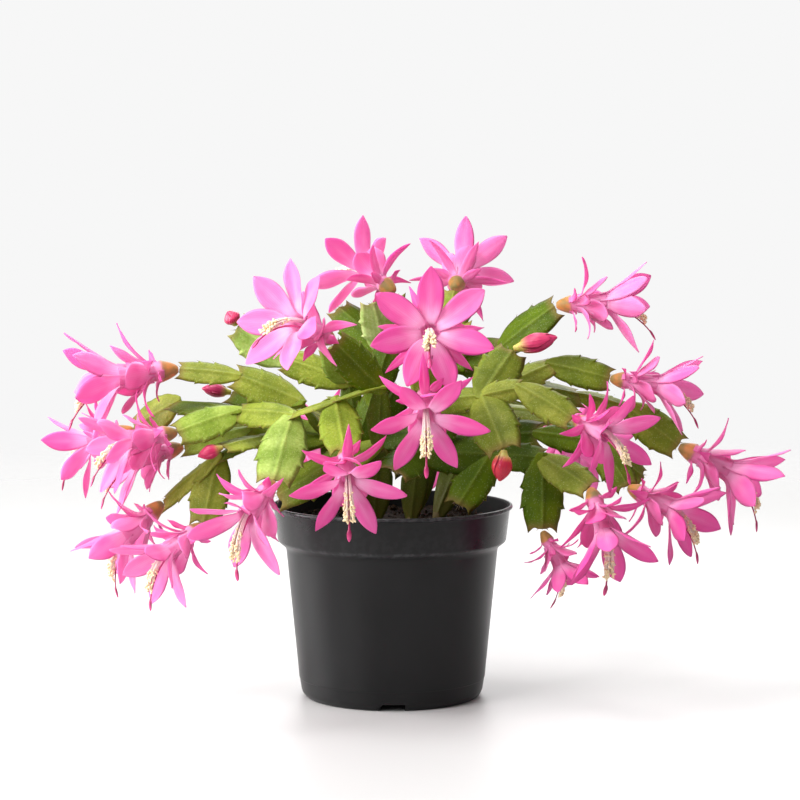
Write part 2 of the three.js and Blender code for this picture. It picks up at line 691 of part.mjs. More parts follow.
// One cream body: the bundle of stamens above the style, which parts into pointed anthers at its end.
function stamens(seated, { size }) {
  const { side, up } = seated;
  const { sides, reach, radius, anthers, spread } = STAMENS;
  const line = droopLine(seated, size, STAMENS.above);
  const skin = new Skin();
  const section = (s, r) => skin.ring(circle(line(s * size), side, up, r * radius * size, sides));
  const rings = [section(2 * GAP, 0.8), section(0.6 * reach, 1), section(reach, 1)];
  const inner = section(reach, 0.4);
  skin.start(rings[0]);
  skin.wall(rings[0], rings[1]);
  skin.wall(rings[1], rings[2]);
  skin.end(inner);
  for (let k = 0; k < sides; k++) {
    const next = (k + 1) % sides;
    const turn = ((k + 0.5) / sides) * 2 * Math.PI;
    const low = Math.sin(turn) < -0.2 ? 0.2 : 1; // the lower ones stay clear of the style
    const apex = line((reach + anthers * (1 + 0.15 * scatter(k, sides))) * size)
      .addScaledVector(side, spread * size * Math.cos(turn))
      .addScaledVector(up, spread * size * low * Math.sin(turn));
    skin.tip([rings[2][k], rings[2][next], inner[next], inner[k]], apex);
  }
  return skin.solid();
}

// A closed bud: overlapping tepals wound to a point, as a six-sided spindle with turned rings.
function bud(seated, { length, radius }) {
  const { along, up, side, foot } = seated;
  const skin = new Skin();
  const at = (s) => foot.clone().addScaledVector(along, s * length);
  const rings = [
    [0, 0.34],
    [0.3, 0.86],
    [0.55, 1],
    [0.82, 0.62],
  ].map(([s, r], k) => skin.ring(circle(at(s), side, up, r * radius, 6, 0.25 * k)));
  skin.start(rings[0]);
  for (let i = 1; i < rings.length; i++) skin.wall(rings[i - 1], rings[i]);
  skin.tip(rings[rings.length - 1], at(1));
  return skin.solid();
}

// ---- Assembly ----

const cactus = new THREE.Group();
cactus.add(meshOf("pot", pot(), blackPlastic));
cactus.add(meshOf("soil", soil(), peat));
Object.entries(CUTTINGS).forEach(([name, cutting], index) => {
  cactus.add(meshOf(`stem_${name}`, leafyStem(cutting, index), leafGreen));
  for (const [shootName, shoot] of Object.entries(cutting.shoots)) {
    const tip = tipOf(cutting, shootName);
    if (shoot.bloom) {
      const number = shoot.bloom.slice(1);
      const plan = { ...FULL_FLOWER, ...BLOOMS[shoot.bloom], number: Number(number) };
      const seated = seat(tip, plan.aim, FLOWER.footRadius);
      cactus.add(meshOf(`bloom_${number}`, bloom(seated, plan), petalPink));
      cactus.add(meshOf(`stamens_${number}`, stamens(seated, plan), pollenCream));
    }
    if (shoot.bud) {
      const plan = BUDS[shoot.bud];
      cactus.add(meshOf(shoot.bud, bud(seat(tip, plan.aim, 0.34 * plan.radius), plan), budRed));
    }
  }
});

export default cactus;
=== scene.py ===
"""A potted christmas cactus in full flower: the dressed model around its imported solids.

Six cuttings stand in peat in a black plastic nursery pot. Each is a chain of flat toothed segments that
forks and arches outwards to blooms, buds or bare tips. The plan and the shapes are worked out in
millimetres, and put into the meshes in metres. Front is -Y, and the pot's foot stands on z = 0.
"""

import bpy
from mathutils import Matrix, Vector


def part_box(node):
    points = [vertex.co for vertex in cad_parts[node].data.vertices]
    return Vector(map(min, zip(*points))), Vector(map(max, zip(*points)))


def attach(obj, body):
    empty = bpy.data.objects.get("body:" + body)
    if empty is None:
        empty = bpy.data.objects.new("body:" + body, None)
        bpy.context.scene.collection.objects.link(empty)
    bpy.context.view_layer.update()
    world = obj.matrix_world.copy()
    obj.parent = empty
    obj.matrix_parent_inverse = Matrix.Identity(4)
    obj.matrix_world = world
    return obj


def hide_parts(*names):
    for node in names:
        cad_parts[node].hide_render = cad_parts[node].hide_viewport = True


bl_info = {
    "name": "Potted Christmas Cactus",
    "version": (1, 0, 0),
    "blender": (4, 5, 0),
    "location": "View3D > Sidebar > Cactus",
    "description": "Builds a flowering christmas cactus in a nursery pot, piece by piece",
    "category": "Add Mesh",
}

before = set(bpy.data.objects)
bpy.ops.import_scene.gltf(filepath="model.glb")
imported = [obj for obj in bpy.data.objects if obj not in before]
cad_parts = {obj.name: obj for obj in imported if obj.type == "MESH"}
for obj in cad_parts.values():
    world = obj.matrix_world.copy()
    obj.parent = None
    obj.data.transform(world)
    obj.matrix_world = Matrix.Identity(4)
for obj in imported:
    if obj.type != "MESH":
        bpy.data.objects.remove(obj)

import math
from collections import namedtuple

import bpy
import numpy as np
from bpy.props import FloatProperty, FloatVectorProperty, IntProperty, PointerProperty
from mathutils import Vector

MM = 0.001
TAU = 2 * math.pi
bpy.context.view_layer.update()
BODY = "root"
# Each piece draws its random numbers from a seed of its own: its kind's, plus its number.
SEEDS = {"soil": 20, "stem": 20, "flower": 120, "brush": 220, "bud": 320}

POT_LOW, POT_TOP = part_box("pot")
POT_HEIGHT = POT_TOP.z - POT_LOW.z
POT_RIM = (POT_TOP.y - POT_LOW.y) / 2
SOIL_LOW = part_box("soil")[0]
CAMERA_X = 0.0043


# ---- The plant's plan, in millimetres ----
# A shoot runs from a joint of another shoot, or from its cutting's root, to its tip, as an arch of equal
# pieces lifted by rise at its middle. Its faces look up at roll 0 and to the front at roll 90. Its tone is
# its green, from 0, deep, over 0.5, olive, to 1, pale and lit through: partly its own colour and partly
# painted light and shade, deep where it hangs in shade and pale where light comes through it. wide widens
# it.
Shoot = namedtuple("Shoot", "to start pieces rise roll end tone wide", defaults=(None, 1, 0, 0, "", 0.45, 1))


def cutting(root, **shoots):
    """A cutting's place in the soil and its shoots by name, each after the one that it grows from."""
    return root, shoots


CUTTINGS = {
    "left": cutting(
        (-21, 3),
        main=Shoot((-49, -12, 160), pieces=2, rise=12, roll=40, tone=0.3),
        a=Shoot((-83, -12, 174), ("main", 2), rise=2, roll=50, tone=0.5),
        b=Shoot((-113, -10, 177), ("a", 1), rise=3, roll=36, end="b01", tone=0.55),
        c=Shoot((-86, 10, 163), ("main", 2), rise=4, roll=25, end="bud_4", tone=0.25),
        d=Shoot((-69, -20, 141), ("main", 1), rise=5, roll=25, tone=0.3),
        e=Shoot((-92, -19, 131), ("d", 1), rise=1, roll=25, tone=0.3),
        f=Shoot((-122, -8, 106), ("e", 1), rise=2, roll=10, end="b04", tone=0.5),
        g=Shoot((-99, -34, 98), ("e", 1), roll=46, end="b05", tone=0.5),
        h=Shoot((-78, 0, 144), ("main", 1), rise=5, roll=40, tone=0.7),
        i=Shoot((-112, 8, 134), ("h", 1), rise=3, roll=34, end="b02", tone=0.74),
        j=Shoot((-88, -34, 138), ("d", 1), rise=1, roll=30, end="bud_5", tone=0.5),
    ),
    "front_left": cutting(
        (-9, -17),
        main=Shoot((-6, -49, 170), pieces=2, rise=6, roll=30, tone=0.25),
        a=Shoot((-29, -46, 163), ("main", 2), rise=1, tone=0.6),
        b=Shoot((-52, -40, 155), ("a", 1), rise=1, roll=5, tone=0.62),
        c=Shoot((-81, -24, 156), ("b", 1), rise=3, roll=58, tone=0.58),
        d=Shoot((-116, 6, 158), ("c", 1), rise=5, roll=18, tone=0.3),
        e=Shoot((-141, 26, 142), ("d", 1), rise=3, roll=60, end="b22", tone=0.5),
        f=Shoot((-112, -36, 146), ("c", 1), rise=4, roll=42, end="b03", tone=0.74),
        g=Shoot((-60, -74, 125), ("b", 1), rise=5, roll=72, end="b06", tone=0.86),
        h=Shoot((-24, -76, 141), ("a", 1), rise=5, roll=76, end="b07", tone=0.7),
        i=Shoot((-29, -54, 194), ("main", 2), rise=2, roll=60, end="b08", tone=0.24),
        j=Shoot((-60, -34, 112), ("main", 1), rise=6, roll=40, tone=0.3),
    ),
    "front_right": cutting(
        (10, -16),
        main=Shoot((18, -34, 160), pieces=2, rise=6, roll=50, tone=0.25),
        a=Shoot((20, -49, 193), ("main", 2), rise=2, roll=60, end="b11", tone=0.45),
        b=Shoot((17, -79, 172), ("main", 2), rise=8, roll=20, end="b12", tone=0.4),
        c=Shoot((47, -37, 165), ("main", 2), rise=3, roll=45, tone=0.55),
        d=Shoot((67, -45, 170), ("c", 1), rise=1, roll=55, tone=0.55),
        e=Shoot((93, -57, 155), ("d", 1), rise=3, roll=60, end="b16", tone=0.5),
        f=Shoot((57, -70, 141), ("c", 1), rise=4, roll=78, end="bud_3", tone=0.42),
        g=Shoot((52, -24, 133), ("main", 1), rise=5, roll=60, tone=0.15),
        h=Shoot((79, -34, 132), ("g", 1), rise=3, roll=55, tone=0.15),
        i=Shoot((79, -37, 95), ("h", 1), roll=88, end="b20", tone=0.2),
        j=Shoot((102, -54, 119), ("h", 1), rise=3, roll=62, end="b19", tone=0.42),
        k=Shoot((35, -38, 108), ("g", 1), rise=1, roll=70, tone=0.2),
        l=Shoot((2, -58, 128), ("main", 1), rise=6, roll=70, tone=0.2),
        m=Shoot((64, -12, 187), ("c", 1), roll=62, end="bud_1", tone=0.32, wide=1.1),
        n=Shoot((34, -20, 153), ("main", 1), rise=2, roll=60, tone=0.1),
    ),
    "right": cutting(
        (24, 2),
        main=Shoot((59, -8, 167), pieces=2, rise=8, roll=40, tone=0.25),
        a=Shoot((85, -1, 179), ("main", 2), rise=1, roll=35, tone=0.5),
        b=Shoot((116, -8, 172), ("a", 1), rise=3, roll=62, end="b15", tone=0.4),
        c=Shoot((101, 6, 162), ("main", 2), rise=4, roll=30, tone=0.4),
        d=Shoot((127, 9, 155), ("c", 1), rise=2, roll=40, tone=0.45),
        e=Shoot((154, 2, 135), ("d", 1), rise=3, roll=52, end="b17", tone=0.42),
        f=Shoot((78, -12, 143), ("main", 1), rise=5, roll=45, tone=0.15),
        g=Shoot((109, -16, 139), ("f", 1), rise=3, roll=40, tone=0.3),
        h=Shoot((124, -30, 117), ("g", 1), rise=2, roll=60, end="b18", tone=0.35),
        i=Shoot((135, -2, 118), ("g", 1), rise=3, roll=60, tone=0.3),
    ),
    "back_right": cutting(
        (12, 18),
        main=Shoot((25, 16, 180), pieces=2, rise=4, roll=60, tone=0.25),
        a=Shoot((58, 8, 187), ("main", 2), rise=2, roll=50, tone=0.2),
        b=Shoot((87, 0, 210), ("a", 1), rise=1, roll=60, end="b13", tone=0.28),
        c=Shoot((34, 34, 217), ("main", 2), roll=75, end="b10", tone=0.6),
        d=Shoot((60, 26, 174), ("main", 2), rise=4, roll=35, tone=0.3),
        e=Shoot((44, 2, 197), ("main", 2), rise=1, roll=60, tone=0.5),
        f=Shoot((88, 72, 140), ("main", 1), pieces=3, rise=16, roll=-30, end="b21", tone=0.4),
        g=Shoot((124, 42, 128), ("main", 1), pieces=3, rise=18, roll=10, tone=0.45),
        h=Shoot((26, 100, 140), ("main", 1), pieces=3, rise=18, roll=-50, end="b23", tone=0.5),
        i=Shoot((56, 54, 176), ("main", 2), rise=2, roll=-10, tone=0.6),
        j=Shoot((-2, 8, 122), ("main", 1), roll=65, tone=0.03, wide=1.1),
    ),
    "back_left": cutting(
        (-12, 18),
        main=Shoot((-24, 20, 168), pieces=2, rise=4, roll=50, tone=0.25),
        a=Shoot((-58, 22, 180), ("main", 2), rise=2, roll=55, tone=0.5),
        b=Shoot((-84, 26, 198), ("a", 1), rise=1, roll=70, end="bud_2", tone=0.95, wide=1.3),
        c=Shoot((-4, 12, 185), ("main", 2), roll=60, tone=0.2),
        d=Shoot((1, 15, 216), ("c", 1), roll=76, end="b09", tone=0.88),
        e=Shoot((-29, 28, 208), ("c", 1), roll=38, tone=0.2),
        f=Shoot((-33, 0, 188), ("main", 2), roll=70, tone=0.78),
        g=Shoot((-38, 100, 140), ("main", 1), pieces=3, rise=18, roll=-50, end="b24", tone=0.4),
        h=Shoot((-96, 70, 132), ("main", 1), pieces=3, rise=18, roll=-20, tone=0.5),
        i=Shoot((-62, 58, 180), ("main", 2), rise=2, roll=-10, tone=0.6),
        k=Shoot((-10, 0, 212), ("c", 1), roll=72, tone=0.92),
        l=Shoot((-11, 0, 159), ("main", 1), roll=60, tone=0.12),
        m=Shoot((3, 14, 166), ("main", 1), roll=60, tone=0.06, wide=1.15),
        n=Shoot((-2, -4, 188), ("l", 1), roll=62, tone=0.1),
        o=Shoot((12, 6, 143), ("main", 1), roll=55, tone=0.04, wide=1.15),
    ),
}

# Each bloom's axis from the stem outwards, how wide it is open, from 0, a trumpet, to 1, a flat star, its
# size against the full flower's, how many sides its tube has, and so how many inner tepals, with their turn,
# and how broad these are against the full flower's. Its tone is from -1, pale, to 1, deep: partly the
# bloom's own pink and partly painted light and shade, paler for lit blooms and deeper for shaded ones.
Bloom = namedtuple("Bloom", "aim open size sides turn full tone", defaults=(1, 7, 0, 1, 0))
BLOOMS = {
    "b01": Bloom((-95, -25, -10), 0.12, 1.14, tone=-0.1),
    "b02": Bloom((-94, -34, -22), 0.18, 0.95, 7, 0.35, tone=-0.2),
    "b03": Bloom((-91, -37, -12), 0.2, 0.92, tone=-0.1),
    "b04": Bloom((-73, -20, -67), 0.1, 0.96, 6, tone=-0.4),
    "b05": Bloom((-70, -56, -50), 0.2, 0.92, tone=-0.3),
    "b06": Bloom((-46, -66, -57), 0.5, 0.96, 6, 0.5),
    "b07": Bloom((8, -84, -52), 0.8, 0.9, 6, 0.5, 0.86, tone=0.25),
    "b08": Bloom((-62, -67, 36), 0.75, 1, 7, 0, 1.15, tone=-0.15),
    "b09": Bloom((-60, 60, 36), 0.75, 0.92, 6),
    "b10": Bloom((16, 86, 30), 0.9, 0.94, 6, tone=-0.1),
    "b11": Bloom((-2, -97, 22), 1, 1, 7, 0, 1.12, tone=0.3),
    "b12": Bloom((1, -92, -46), 0.88, 0.94, 6, 0.5, 0.86, tone=0.4),
    "b13": Bloom((97, -10, 6), 0.3, 0.96, tone=-0.3),
    "b15": Bloom((96, -25, -10), 0.25, 0.92, tone=-0.2),
    "b16": Bloom((60, -74, -22), 0.5, 0.88, 6, 0, 0.85, tone=0.7),
    "b17": Bloom((89, -16, -42), 0.3, 1.06, tone=0.2),
    "b18": Bloom((82, -46, -36), 0.35, 0.94, tone=0.4),
    "b19": Bloom((24, -58, -76), 0.2, 0.96, 6, 0.5, tone=0.5),
    "b20": Bloom((44, -14, -82), 0.3, 0.7, tone=0.5),
    "b21": Bloom((60, 66, -40), 0.5),
    "b22": Bloom((-92, 10, -30), 0.2, 0.9, 6),
    "b23": Bloom((14, 82, -52), 0.7),
    "b24": Bloom((-20, 82, -48), 0.85, 1, 6),
}
# Warmth runs from 0, a cool pink bud, to 1, a red one.
Bud = namedtuple("Bud", "aim length radius warmth petals", defaults=(6,))
BUDS = {
    "bud_1": Bud((92, -16, 26), 24, 5, 0.2),
    "bud_2": Bud((-50, -20, 84), 9, 4.4, 0.35, 5),
    "bud_3": Bud((-14, -20, -96), 16, 5, 1),
    "bud_4": Bud((-96, -10, 14), 16, 3.6, 0.1),
    "bud_5": Bud((-84, -24, -30), 14, 3.6, 0.4),
}

# The clearance to the piece that carries another. Then the sizes that the solids have too: the pot's radii
# at the underside's disc, the foot, the notches in it, the body's top, and the band's foot and top, the
# band's height, the wall's thickness, how high the floor is lifted, and where the soil ends.
GAP = 0.35
POT = {"disc": 13, "foot": 49.4, "notches": 48, "body": 57, "band": 61.4, "lip": 63.4}
STEP, WALL, LIFT = 20, 1.6, 4
SOIL_LEVEL = 95
SOIL_FOOT = SOIL_LOW.z / MM
# A cutting's woody peg: its radii at these heights over the soil's level.
PEG = {"radii": (2.6, 2.4, 1.9), "heights": (-15, -2, 4)}
# How deep a segment's foot is sunk into the one before it, how narrow the old ones are, and how brown.
SUNK = 3.2
OLD_SHARE = 0.7
OLD_AGES = (0.75, 0.4)

# Half an outline of a segment: how far along, how far out as a share of half the width, and how much the
# edge bows out on its way there. Old segments are worn to a plain blade. Young ones have two teeth a side,
# which point forwards, and a horn beside the blunt tip. A leg shorter than STEP_LEG is a tooth's step.
STEP_LEG = 0.07
OLD_EDGE = [
    (0, 0.24, 0),
    (0.36, 0.86, 0.07),
    (0.62, 1, 0.03),
    (0.68, 0.84, 0),
    (0.92, 0.62, 0.04),
    (1, 0.26, 0),
]
YOUNG_EDGE = [
    (0, 0.2, 0),
    (0.15, 0.56, 0.04),
    (0.38, 0.9, 0.06),
    (0.475, 1.06, -0.012),
    (0.488, 0.93, 0),
    (0.65, 0.97, 0.03),
    (0.735, 1.06, -0.012),
    (0.748, 0.9, 0),
    (0.92, 0.78, 0.03),
    (1.06, 0.68, -0.015),
    (1.0, 0.5, 0),
    (0.98, 0.36, 0),
    (1, 0.2, 0),
]

# The flower's tube: stations along its axis, the radius there, and how ochre the skin is. It ends inside.
TUBE = [
    (0, 1.5, 1),
    (1.3, 2.6, 1),
    (4, 3.9, 1),
    (7, 4.9, 0.95),
    (8.2, 5.1, 0.6),
    (9.2, 4.8, 0.03),
    (12, 4.4, 0),
    (16, 4.5, 0),
    (21, 4.9, 0),
    (26, 5.4, 0),
    (28.2, 5.7, 0),
    (27.8, 4.9, 0),
    (25, 4, 0),
    (20, 3.1, 0),
    (15, 2, 0),
]
THROAT = 28

# The tepals in four whorls, from the stem to the throat.
WHORL_SHAPES = {
    "faces": ((1, 3, 5), (0, 1, 2, 4, 5), (0, 2, 3, 5), None),  # sides of the tube that bear one, or all
    "shift": (0, 0.5, 0.25, 0),  # how much further round they stand, in sides
    "at": (8.7, 12.6, 14.2, THROAT),  # how far along the tube
    "radius": (5, 4.5, 4.4, 5),  # how far out from its axis
    "length": (12, 26, 19, 29.5),
    "width": (5.4, 5.8, 13, 12.4),
    "lean": (60, 42, 13, 16),  # angle from the axis
    "open_by": (0, 18, 8, 46),  # what a wide open flower adds to it
    "curl": (46, 62, 42, 18),  # turn on the way to the tip
    "sag": (0, 0, 10, 34),  # what the lowest ones of a closed flower bend down further
    "loose": (8, 10, 8, 8),  # how far a tepal may lean its own way
    "root": (0.7, 0.6, 0.55, 0.42),  # width at the root, as a share
    "belly": (0.4, 0.42, 0.55, 0.52),  # where it is widest
    "point": (1.6, 1.7, 3, 2.3),  # from 1, a straight taper, to blunter ones
    "pinwheel": (0, 0, 0, 14),  # turn of the blade about its line at the foot
    "twist": (24, 24, 24, 8),  # turn at the tip, times a random number
    "glow": (0.3, 0.4, 0.9, 1.0),  # how pale the foot is
    "tone": (0.5, 0.3, -0.4, 0.0),  # how deep the pink
}
Whorl = namedtuple("Whorl", WHORL_SHAPES)
WHORLS = [Whorl(*values) for values in zip(*WHORL_SHAPES.values())]

# A tepal's slope in the tube's wall, how far every other one of a closed flower stands out from its
# neighbours, and how broad the innermost ones may be against ones that just meet.
WALL_SLOPE = 12
STAGGER = 0.4
OVERLAP = 1.22

# The style's reach beyond the throat, its radius and its stigma's, and how far it runs below the flower's
# axis. Its far end has turned down by DROOP.
STYLE = {"reach": 33, "radius": 0.6, "stigma": 1.35, "below": 1.8}
DROOP = 38

# A closed bud's radius along it, as shares, and the turn from one of its tepals to the next.
BUD_LINE = [(0, 0.34), (0.12, 0.5), (0.3, 0.84), (0.55, 1), (0.8, 0.66), (0.95, 0.26), (1, 0.1)]
BUD_TURN = 0.382


# ---- Small tools ----


def seeded(kind, number=0):
    """The random numbers of one piece."""
    return np.random.default_rng(SEEDS[kind] + int(number))


def scatter(i, j):
    """A repeatable number from -1 to 1 for two indices: the fraction of a large sine."""
    s = math.sin(i * 12.9898 + j * 78.233) * 43758.5453
    return 2 * (s - math.floor(s)) - 1


def unit(v):
    """Vectors brought to length 1."""
    return v / np.linalg.norm(v, axis=-1, keepdims=True)


def frame_of(along, wanted):
    """Unit vectors along, up and side: up is the wanted way made square to along, side is up x along."""
    a = unit(np.asarray(along, float))
    up = unit(np.asarray(wanted, float) - a * np.dot(wanted, a))
    return a, up, np.cross(up, a)


def ease(x):
    """0 below 0, 1 above 1, and 3x^2 - 2x^3 between."""
    x = np.clip(x, 0, 1)
    return x * x * (3 - 2 * x)


def bell(x, width):
    """A soft bump around 0: exp(-(x / width)^2)."""
    return np.exp(-((x / width) ** 2))


def circle(count):
    """Equal turns round the circle."""
    return np.arange(count) * TAU / count


def swung(turn, side, up):
    """The ways that side swings through towards up: side cos t + up sin t."""
    return np.multiply.outer(np.cos(turn), side) + np.multiply.outer(np.sin(turn), up)


def around(radius, turn, height):
    """Points about z: radius cos t, radius sin t and height, each spread over the others' shape."""
    return np.stack(np.broadcast_arrays(radius * np.cos(turn), radius * np.sin(turn), height), axis=-1)


def bezier(start, middle, end, u):
    """A quadratic arch: start (1 - u)^2 + middle 2u (1 - u) + end u^2."""
    return start * (1 - u) ** 2 + middle * 2 * u * (1 - u) + end * u**2


def rounded(points, per_leg):
    """A line through the points: a Catmull-Rom cubic on each leg, cut into per_leg steps."""
    p = np.array(points, float)
    ends = np.vstack([2 * p[0] - p[1], p, 2 * p[-1] - p[-2]])
    a, b, c, d = (ends[i : len(p) - 1 + i, None] for i in range(4))
    u = (np.arange(per_leg) / per_leg)[None, :, None]
    line = b + (c - a) * u / 2 + (2 * a - 5 * b + 4 * c - d) * u**2 / 2 + (3 * b - a - 3 * c + d) * u**3 / 2
    return np.vstack([line.reshape(-1, p.shape[1]), p[-1:]])


def squares_to(directions):
    """For each unit vector, two more that are square to it and to each other."""
    other = np.where(np.abs(directions[:, 2:]) < 0.8, [[0.0, 0, 1]], [[1.0, 0, 0]])
    side = unit(np.cross(directions, other))
    return side, np.cross(side, directions)


def tubes(lines, radius, sides, side=(1, 0, 0), up=(0, 1, 0)):
    """Round skins along lines: line + radius (side cos t + up sin t), with t round the circle.

    lines has the shape (copies, rings, 3), radius fits (copies, rings), and side and up fit (copies, 3).
    """
    spoke = np.moveaxis(swung(circle(sides), side, up), 0, -2).reshape(-1, 1, sides, 3)
    width = np.broadcast_to(radius, lines.shape[:2])
    return lines[:, :, None] + width[:, :, None, None] * spoke


def blade(middle, height, thick, way, along, across):
    """A thin blade as rings of points, with how far along and across it each point is.

    The faces are middle + (height + thick) way and middle + (height - thick) way. Each ring runs over the
    one from edge to edge, and back under the other.
    """
    faces = [middle + (height + hand * thick)[..., None] * way for hand in (1, -1)]
    places = [[np.broadcast_to(value, faces[0].shape[:2])] * 2 for value in (along, across)]
    return [np.concatenate([over, under[:, -2:0:-1]], axis=1) for over, under in (faces, *places)]


def with_hubs(rings):
    """The values of each copy's rings in a row, and after them the means of its first and its last ring."""
    row = rings.reshape(len(rings), -1, *rings.shape[3:])
    return np.concatenate([row, rings[:, [0, -1]].mean(axis=2)], axis=1)


class Shell:
    """Closed skins gathered into one mesh, with numbers at each vertex for the material."""

    def __init__(self, *channels):
        self.points = []
        self.quads = []
        self.fans = []
        self.values = {channel: [] for channel in channels}
        self.count = 0

    def add(self, grid, **values):
        """Adds skins given as rings of points, of the shape (copies, rings, sides, 3) or (rings, sides, 3).

        Each ring is walled to the next, and the first and last are shut with a fan to their mean. A skin
        whose signed volume, the sum of p . (q x r) / 6 over its triangles, is negative is turned round.
        """
        grid = np.asarray(grid, float)
        grid = grid.reshape((-1,) + grid.shape[-3:])
        copies, rings, sides, _ = grid.shape
        points = with_hubs(grid)
        here = np.arange(rings * sides).reshape(rings, sides)
        beside = np.roll(here, -1, axis=1)
        quads = np.stack([here[:-1], beside[:-1], beside[1:], here[1:]], axis=-1).reshape(-1, 4)
        low, high = (np.full(sides, rings * sides + end) for end in (0, 1))
        fans = np.concatenate(
            [np.stack([beside[0], here[0], low], axis=1), np.stack([here[-1], beside[-1], high], axis=1)]
        )
        middle = points - points.mean(axis=1, keepdims=True)
        corners = np.concatenate([quads[:, :3], quads[:, [0, 2, 3]], fans])
        p, q, r = (middle[:, corners[:, i]] for i in range(3))
        inside_out = np.einsum("ijk,ijk->i", p, np.cross(q, r)) < 0
        start = self.count + np.arange(copies)[:, None, None] * points.shape[1]
        for faces, kept in ((quads, self.quads), (fans, self.fans)):
            placed = faces[None] + start
            placed[inside_out] = placed[inside_out][..., ::-1]
            kept.append(placed.reshape(-1, faces.shape[1]))
        self.points.append(points.reshape(-1, 3))
        self.count += copies * points.shape[1]
        for channel, kept in self.values.items():
            kept.append(with_hubs(np.broadcast_to(values.get(channel, 0.0), grid.shape[:3])).ravel())

    def mesh(self, name):
        """The gathered skins as a mesh in metres."""
        mesh = bpy.data.meshes.new(name)
        quads, fans = np.concatenate(self.quads), np.concatenate(self.fans)
        mesh.vertices.add(self.count)
        mesh.vertices.foreach_set("co", (np.concatenate(self.points) * MM).ravel())
        mesh.loops.add(quads.size + fans.size)
        corners = np.concatenate([quads.ravel(), fans.ravel()])
        mesh.loops.foreach_set("vertex_index", corners.astype(np.int32))
        mesh.polygons.add(len(quads) + len(fans))
        starts = np.concatenate([np.arange(len(quads)) * 4, quads.size + np.arange(len(fans)) * 3])
        mesh.polygons.foreach_set("loop_start", starts.astype(np.int32))
        mesh.update(calc_edges=True)
        for channel, kept in self.values.items():
            layer = mesh.attributes.new(channel, "FLOAT", "POINT")
            layer.data.foreach_set("value", np.concatenate(kept).astype(np.float32))
        mesh.shade_smooth()
        return mesh


def new_object(name, data):
    """An object in the scene, at the origin."""
    obj = bpy.data.objects.new(name, data)
    bpy.context.scene.collection.objects.link(obj)
    return obj


def place(name, shell, build, slot, *nodes):
    """Puts a finished shell, in the material that build makes, in place of the CAD nodes it stands for."""
    obj = new_object(name, shell.mesh(name))
    obj.data.materials.append(material_of(build))
    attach(obj, BODY)
    if nodes:
        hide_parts(*nodes)
    return obj


# ---- Shader tools ----


def rgb(red, green, blue):
    return (red, green, blue, 1.0)


WHITE, BLACK = rgb(1, 1, 1), rgb(0, 0, 0)


class Graph:
    """Adds nodes to a material or a node group, and joins them."""

    def __init__(self, tree):
        self.tree = tree

    def feed(self, socket, value):
        """Joins another node's output to the socket, or sets the socket's own value."""
        if isinstance(value, bpy.types.NodeSocket):
            self.tree.links.new(value, socket)
        else:
            socket.default_value = value

    def node(self, kind, inputs=None, **settings):
        """A new node with these settings, its sockets fed by their names or numbers."""
        node = self.tree.nodes.new(kind)
        for name, value in settings.items():
            setattr(node, name, value)
        for name, value in (inputs or {}).items():
            self.feed(node.inputs[name], value)
        return node

    def value(self, channel):
        """A number that the mesh carries at each vertex."""
        return self.node("ShaderNodeAttribute", attribute_name=channel).outputs["Fac"]

    def spot(self):
        """The place in the object's own space."""
        return self.node("ShaderNodeTexCoord").outputs["Object"]

    def math(self, operation, a, b=0.0):
        return self.node("ShaderNodeMath", {0: a, 1: b}, operation=operation).outputs[0]

    def add(self, a, b):
        return self.math("ADD", a, b)

    def times(self, a, b):
        return self.math("MULTIPLY", a, b)

    def span(self, value, low, high, to_low=0.0, to_high=1.0):
        """A smooth step from to_low to to_high while the value goes from low to high."""
        inputs = {"Value": value, "From Min": low, "From Max": high, "To Min": to_low, "To Max": to_high}
        return self.node("ShaderNodeMapRange", inputs, interpolation_type="SMOOTHSTEP").outputs["Result"]

    def fade(self, value, low, high):
        """A smooth step down from 1 to 0."""
        return self.span(value, low, high, 1.0, 0.0)

    def mix(self, share, a, b, blend="MIX"):
        """Colour a, with a share of colour b blended over it."""
        inputs = {0: share, 6: a, 7: b}
        return self.node("ShaderNodeMix", inputs, data_type="RGBA", blend_type=blend).outputs[2]

    def lay(self, colour, tint, mask, strength):
        """The colour, with a tint laid over it as far as mask x strength."""
        return self.mix(self.times(mask, strength), colour, tint)

    def filtered(self, colour, glass):
        """The product of two colours."""
        return self.mix(1.0, colour, glass, "MULTIPLY")

    def ramp(self, value, stops):
        """A colour by the value. The stops are positions from 0 to 1 with their colours."""
        node = self.node("ShaderNodeValToRGB", {"Fac": value})
        elements = node.color_ramp.elements
        for position, colour in stops[1:-1]:
            elements.new(position).color = colour
        elements[0].color, elements[-1].color = stops[0][1], stops[-1][1]
        return node.outputs["Color"]

    def group(self, name, **inputs):
        """The outputs of a shared group, whose sockets are fed by their names."""
        fed = {label.capitalize(): value for label, value in inputs.items()}
        return self.node("ShaderNodeGroup", fed, node_tree=shared_group(name)).outputs

    def mottle(self, light, dark, scale):
        return self.group("Mottle", light=light, dark=dark, scale=scale)

    def solid(self, colour, roughness, relief=None, strength=0.0, depth=0.0, **own):
        """The Principled shader with a relief, depth metres deep, and constants on its own sockets."""
        inputs = {"Base Color": colour, "Roughness": roughness}
        if relief is not None:
            bump = self.node("ShaderNodeBump", {"Height": relief, "Strength": strength, "Distance": depth})
            inputs["Normal"] = bump.outputs[0]
        inputs.update({name.replace("_", " "): value for name, value in own.items()})
        return self.node("ShaderNodeBsdfPrincipled", inputs).outputs[0]

    def lit_through(self, share, colour, solid):
        """The solid shader with a share of light that comes through from behind."""
        through = self.node("ShaderNodeBsdfTranslucent", {"Color": colour}).outputs[0]
        return self.node("ShaderNodeMixShader", {0: share, 1: solid, 2: through}).outputs[0]


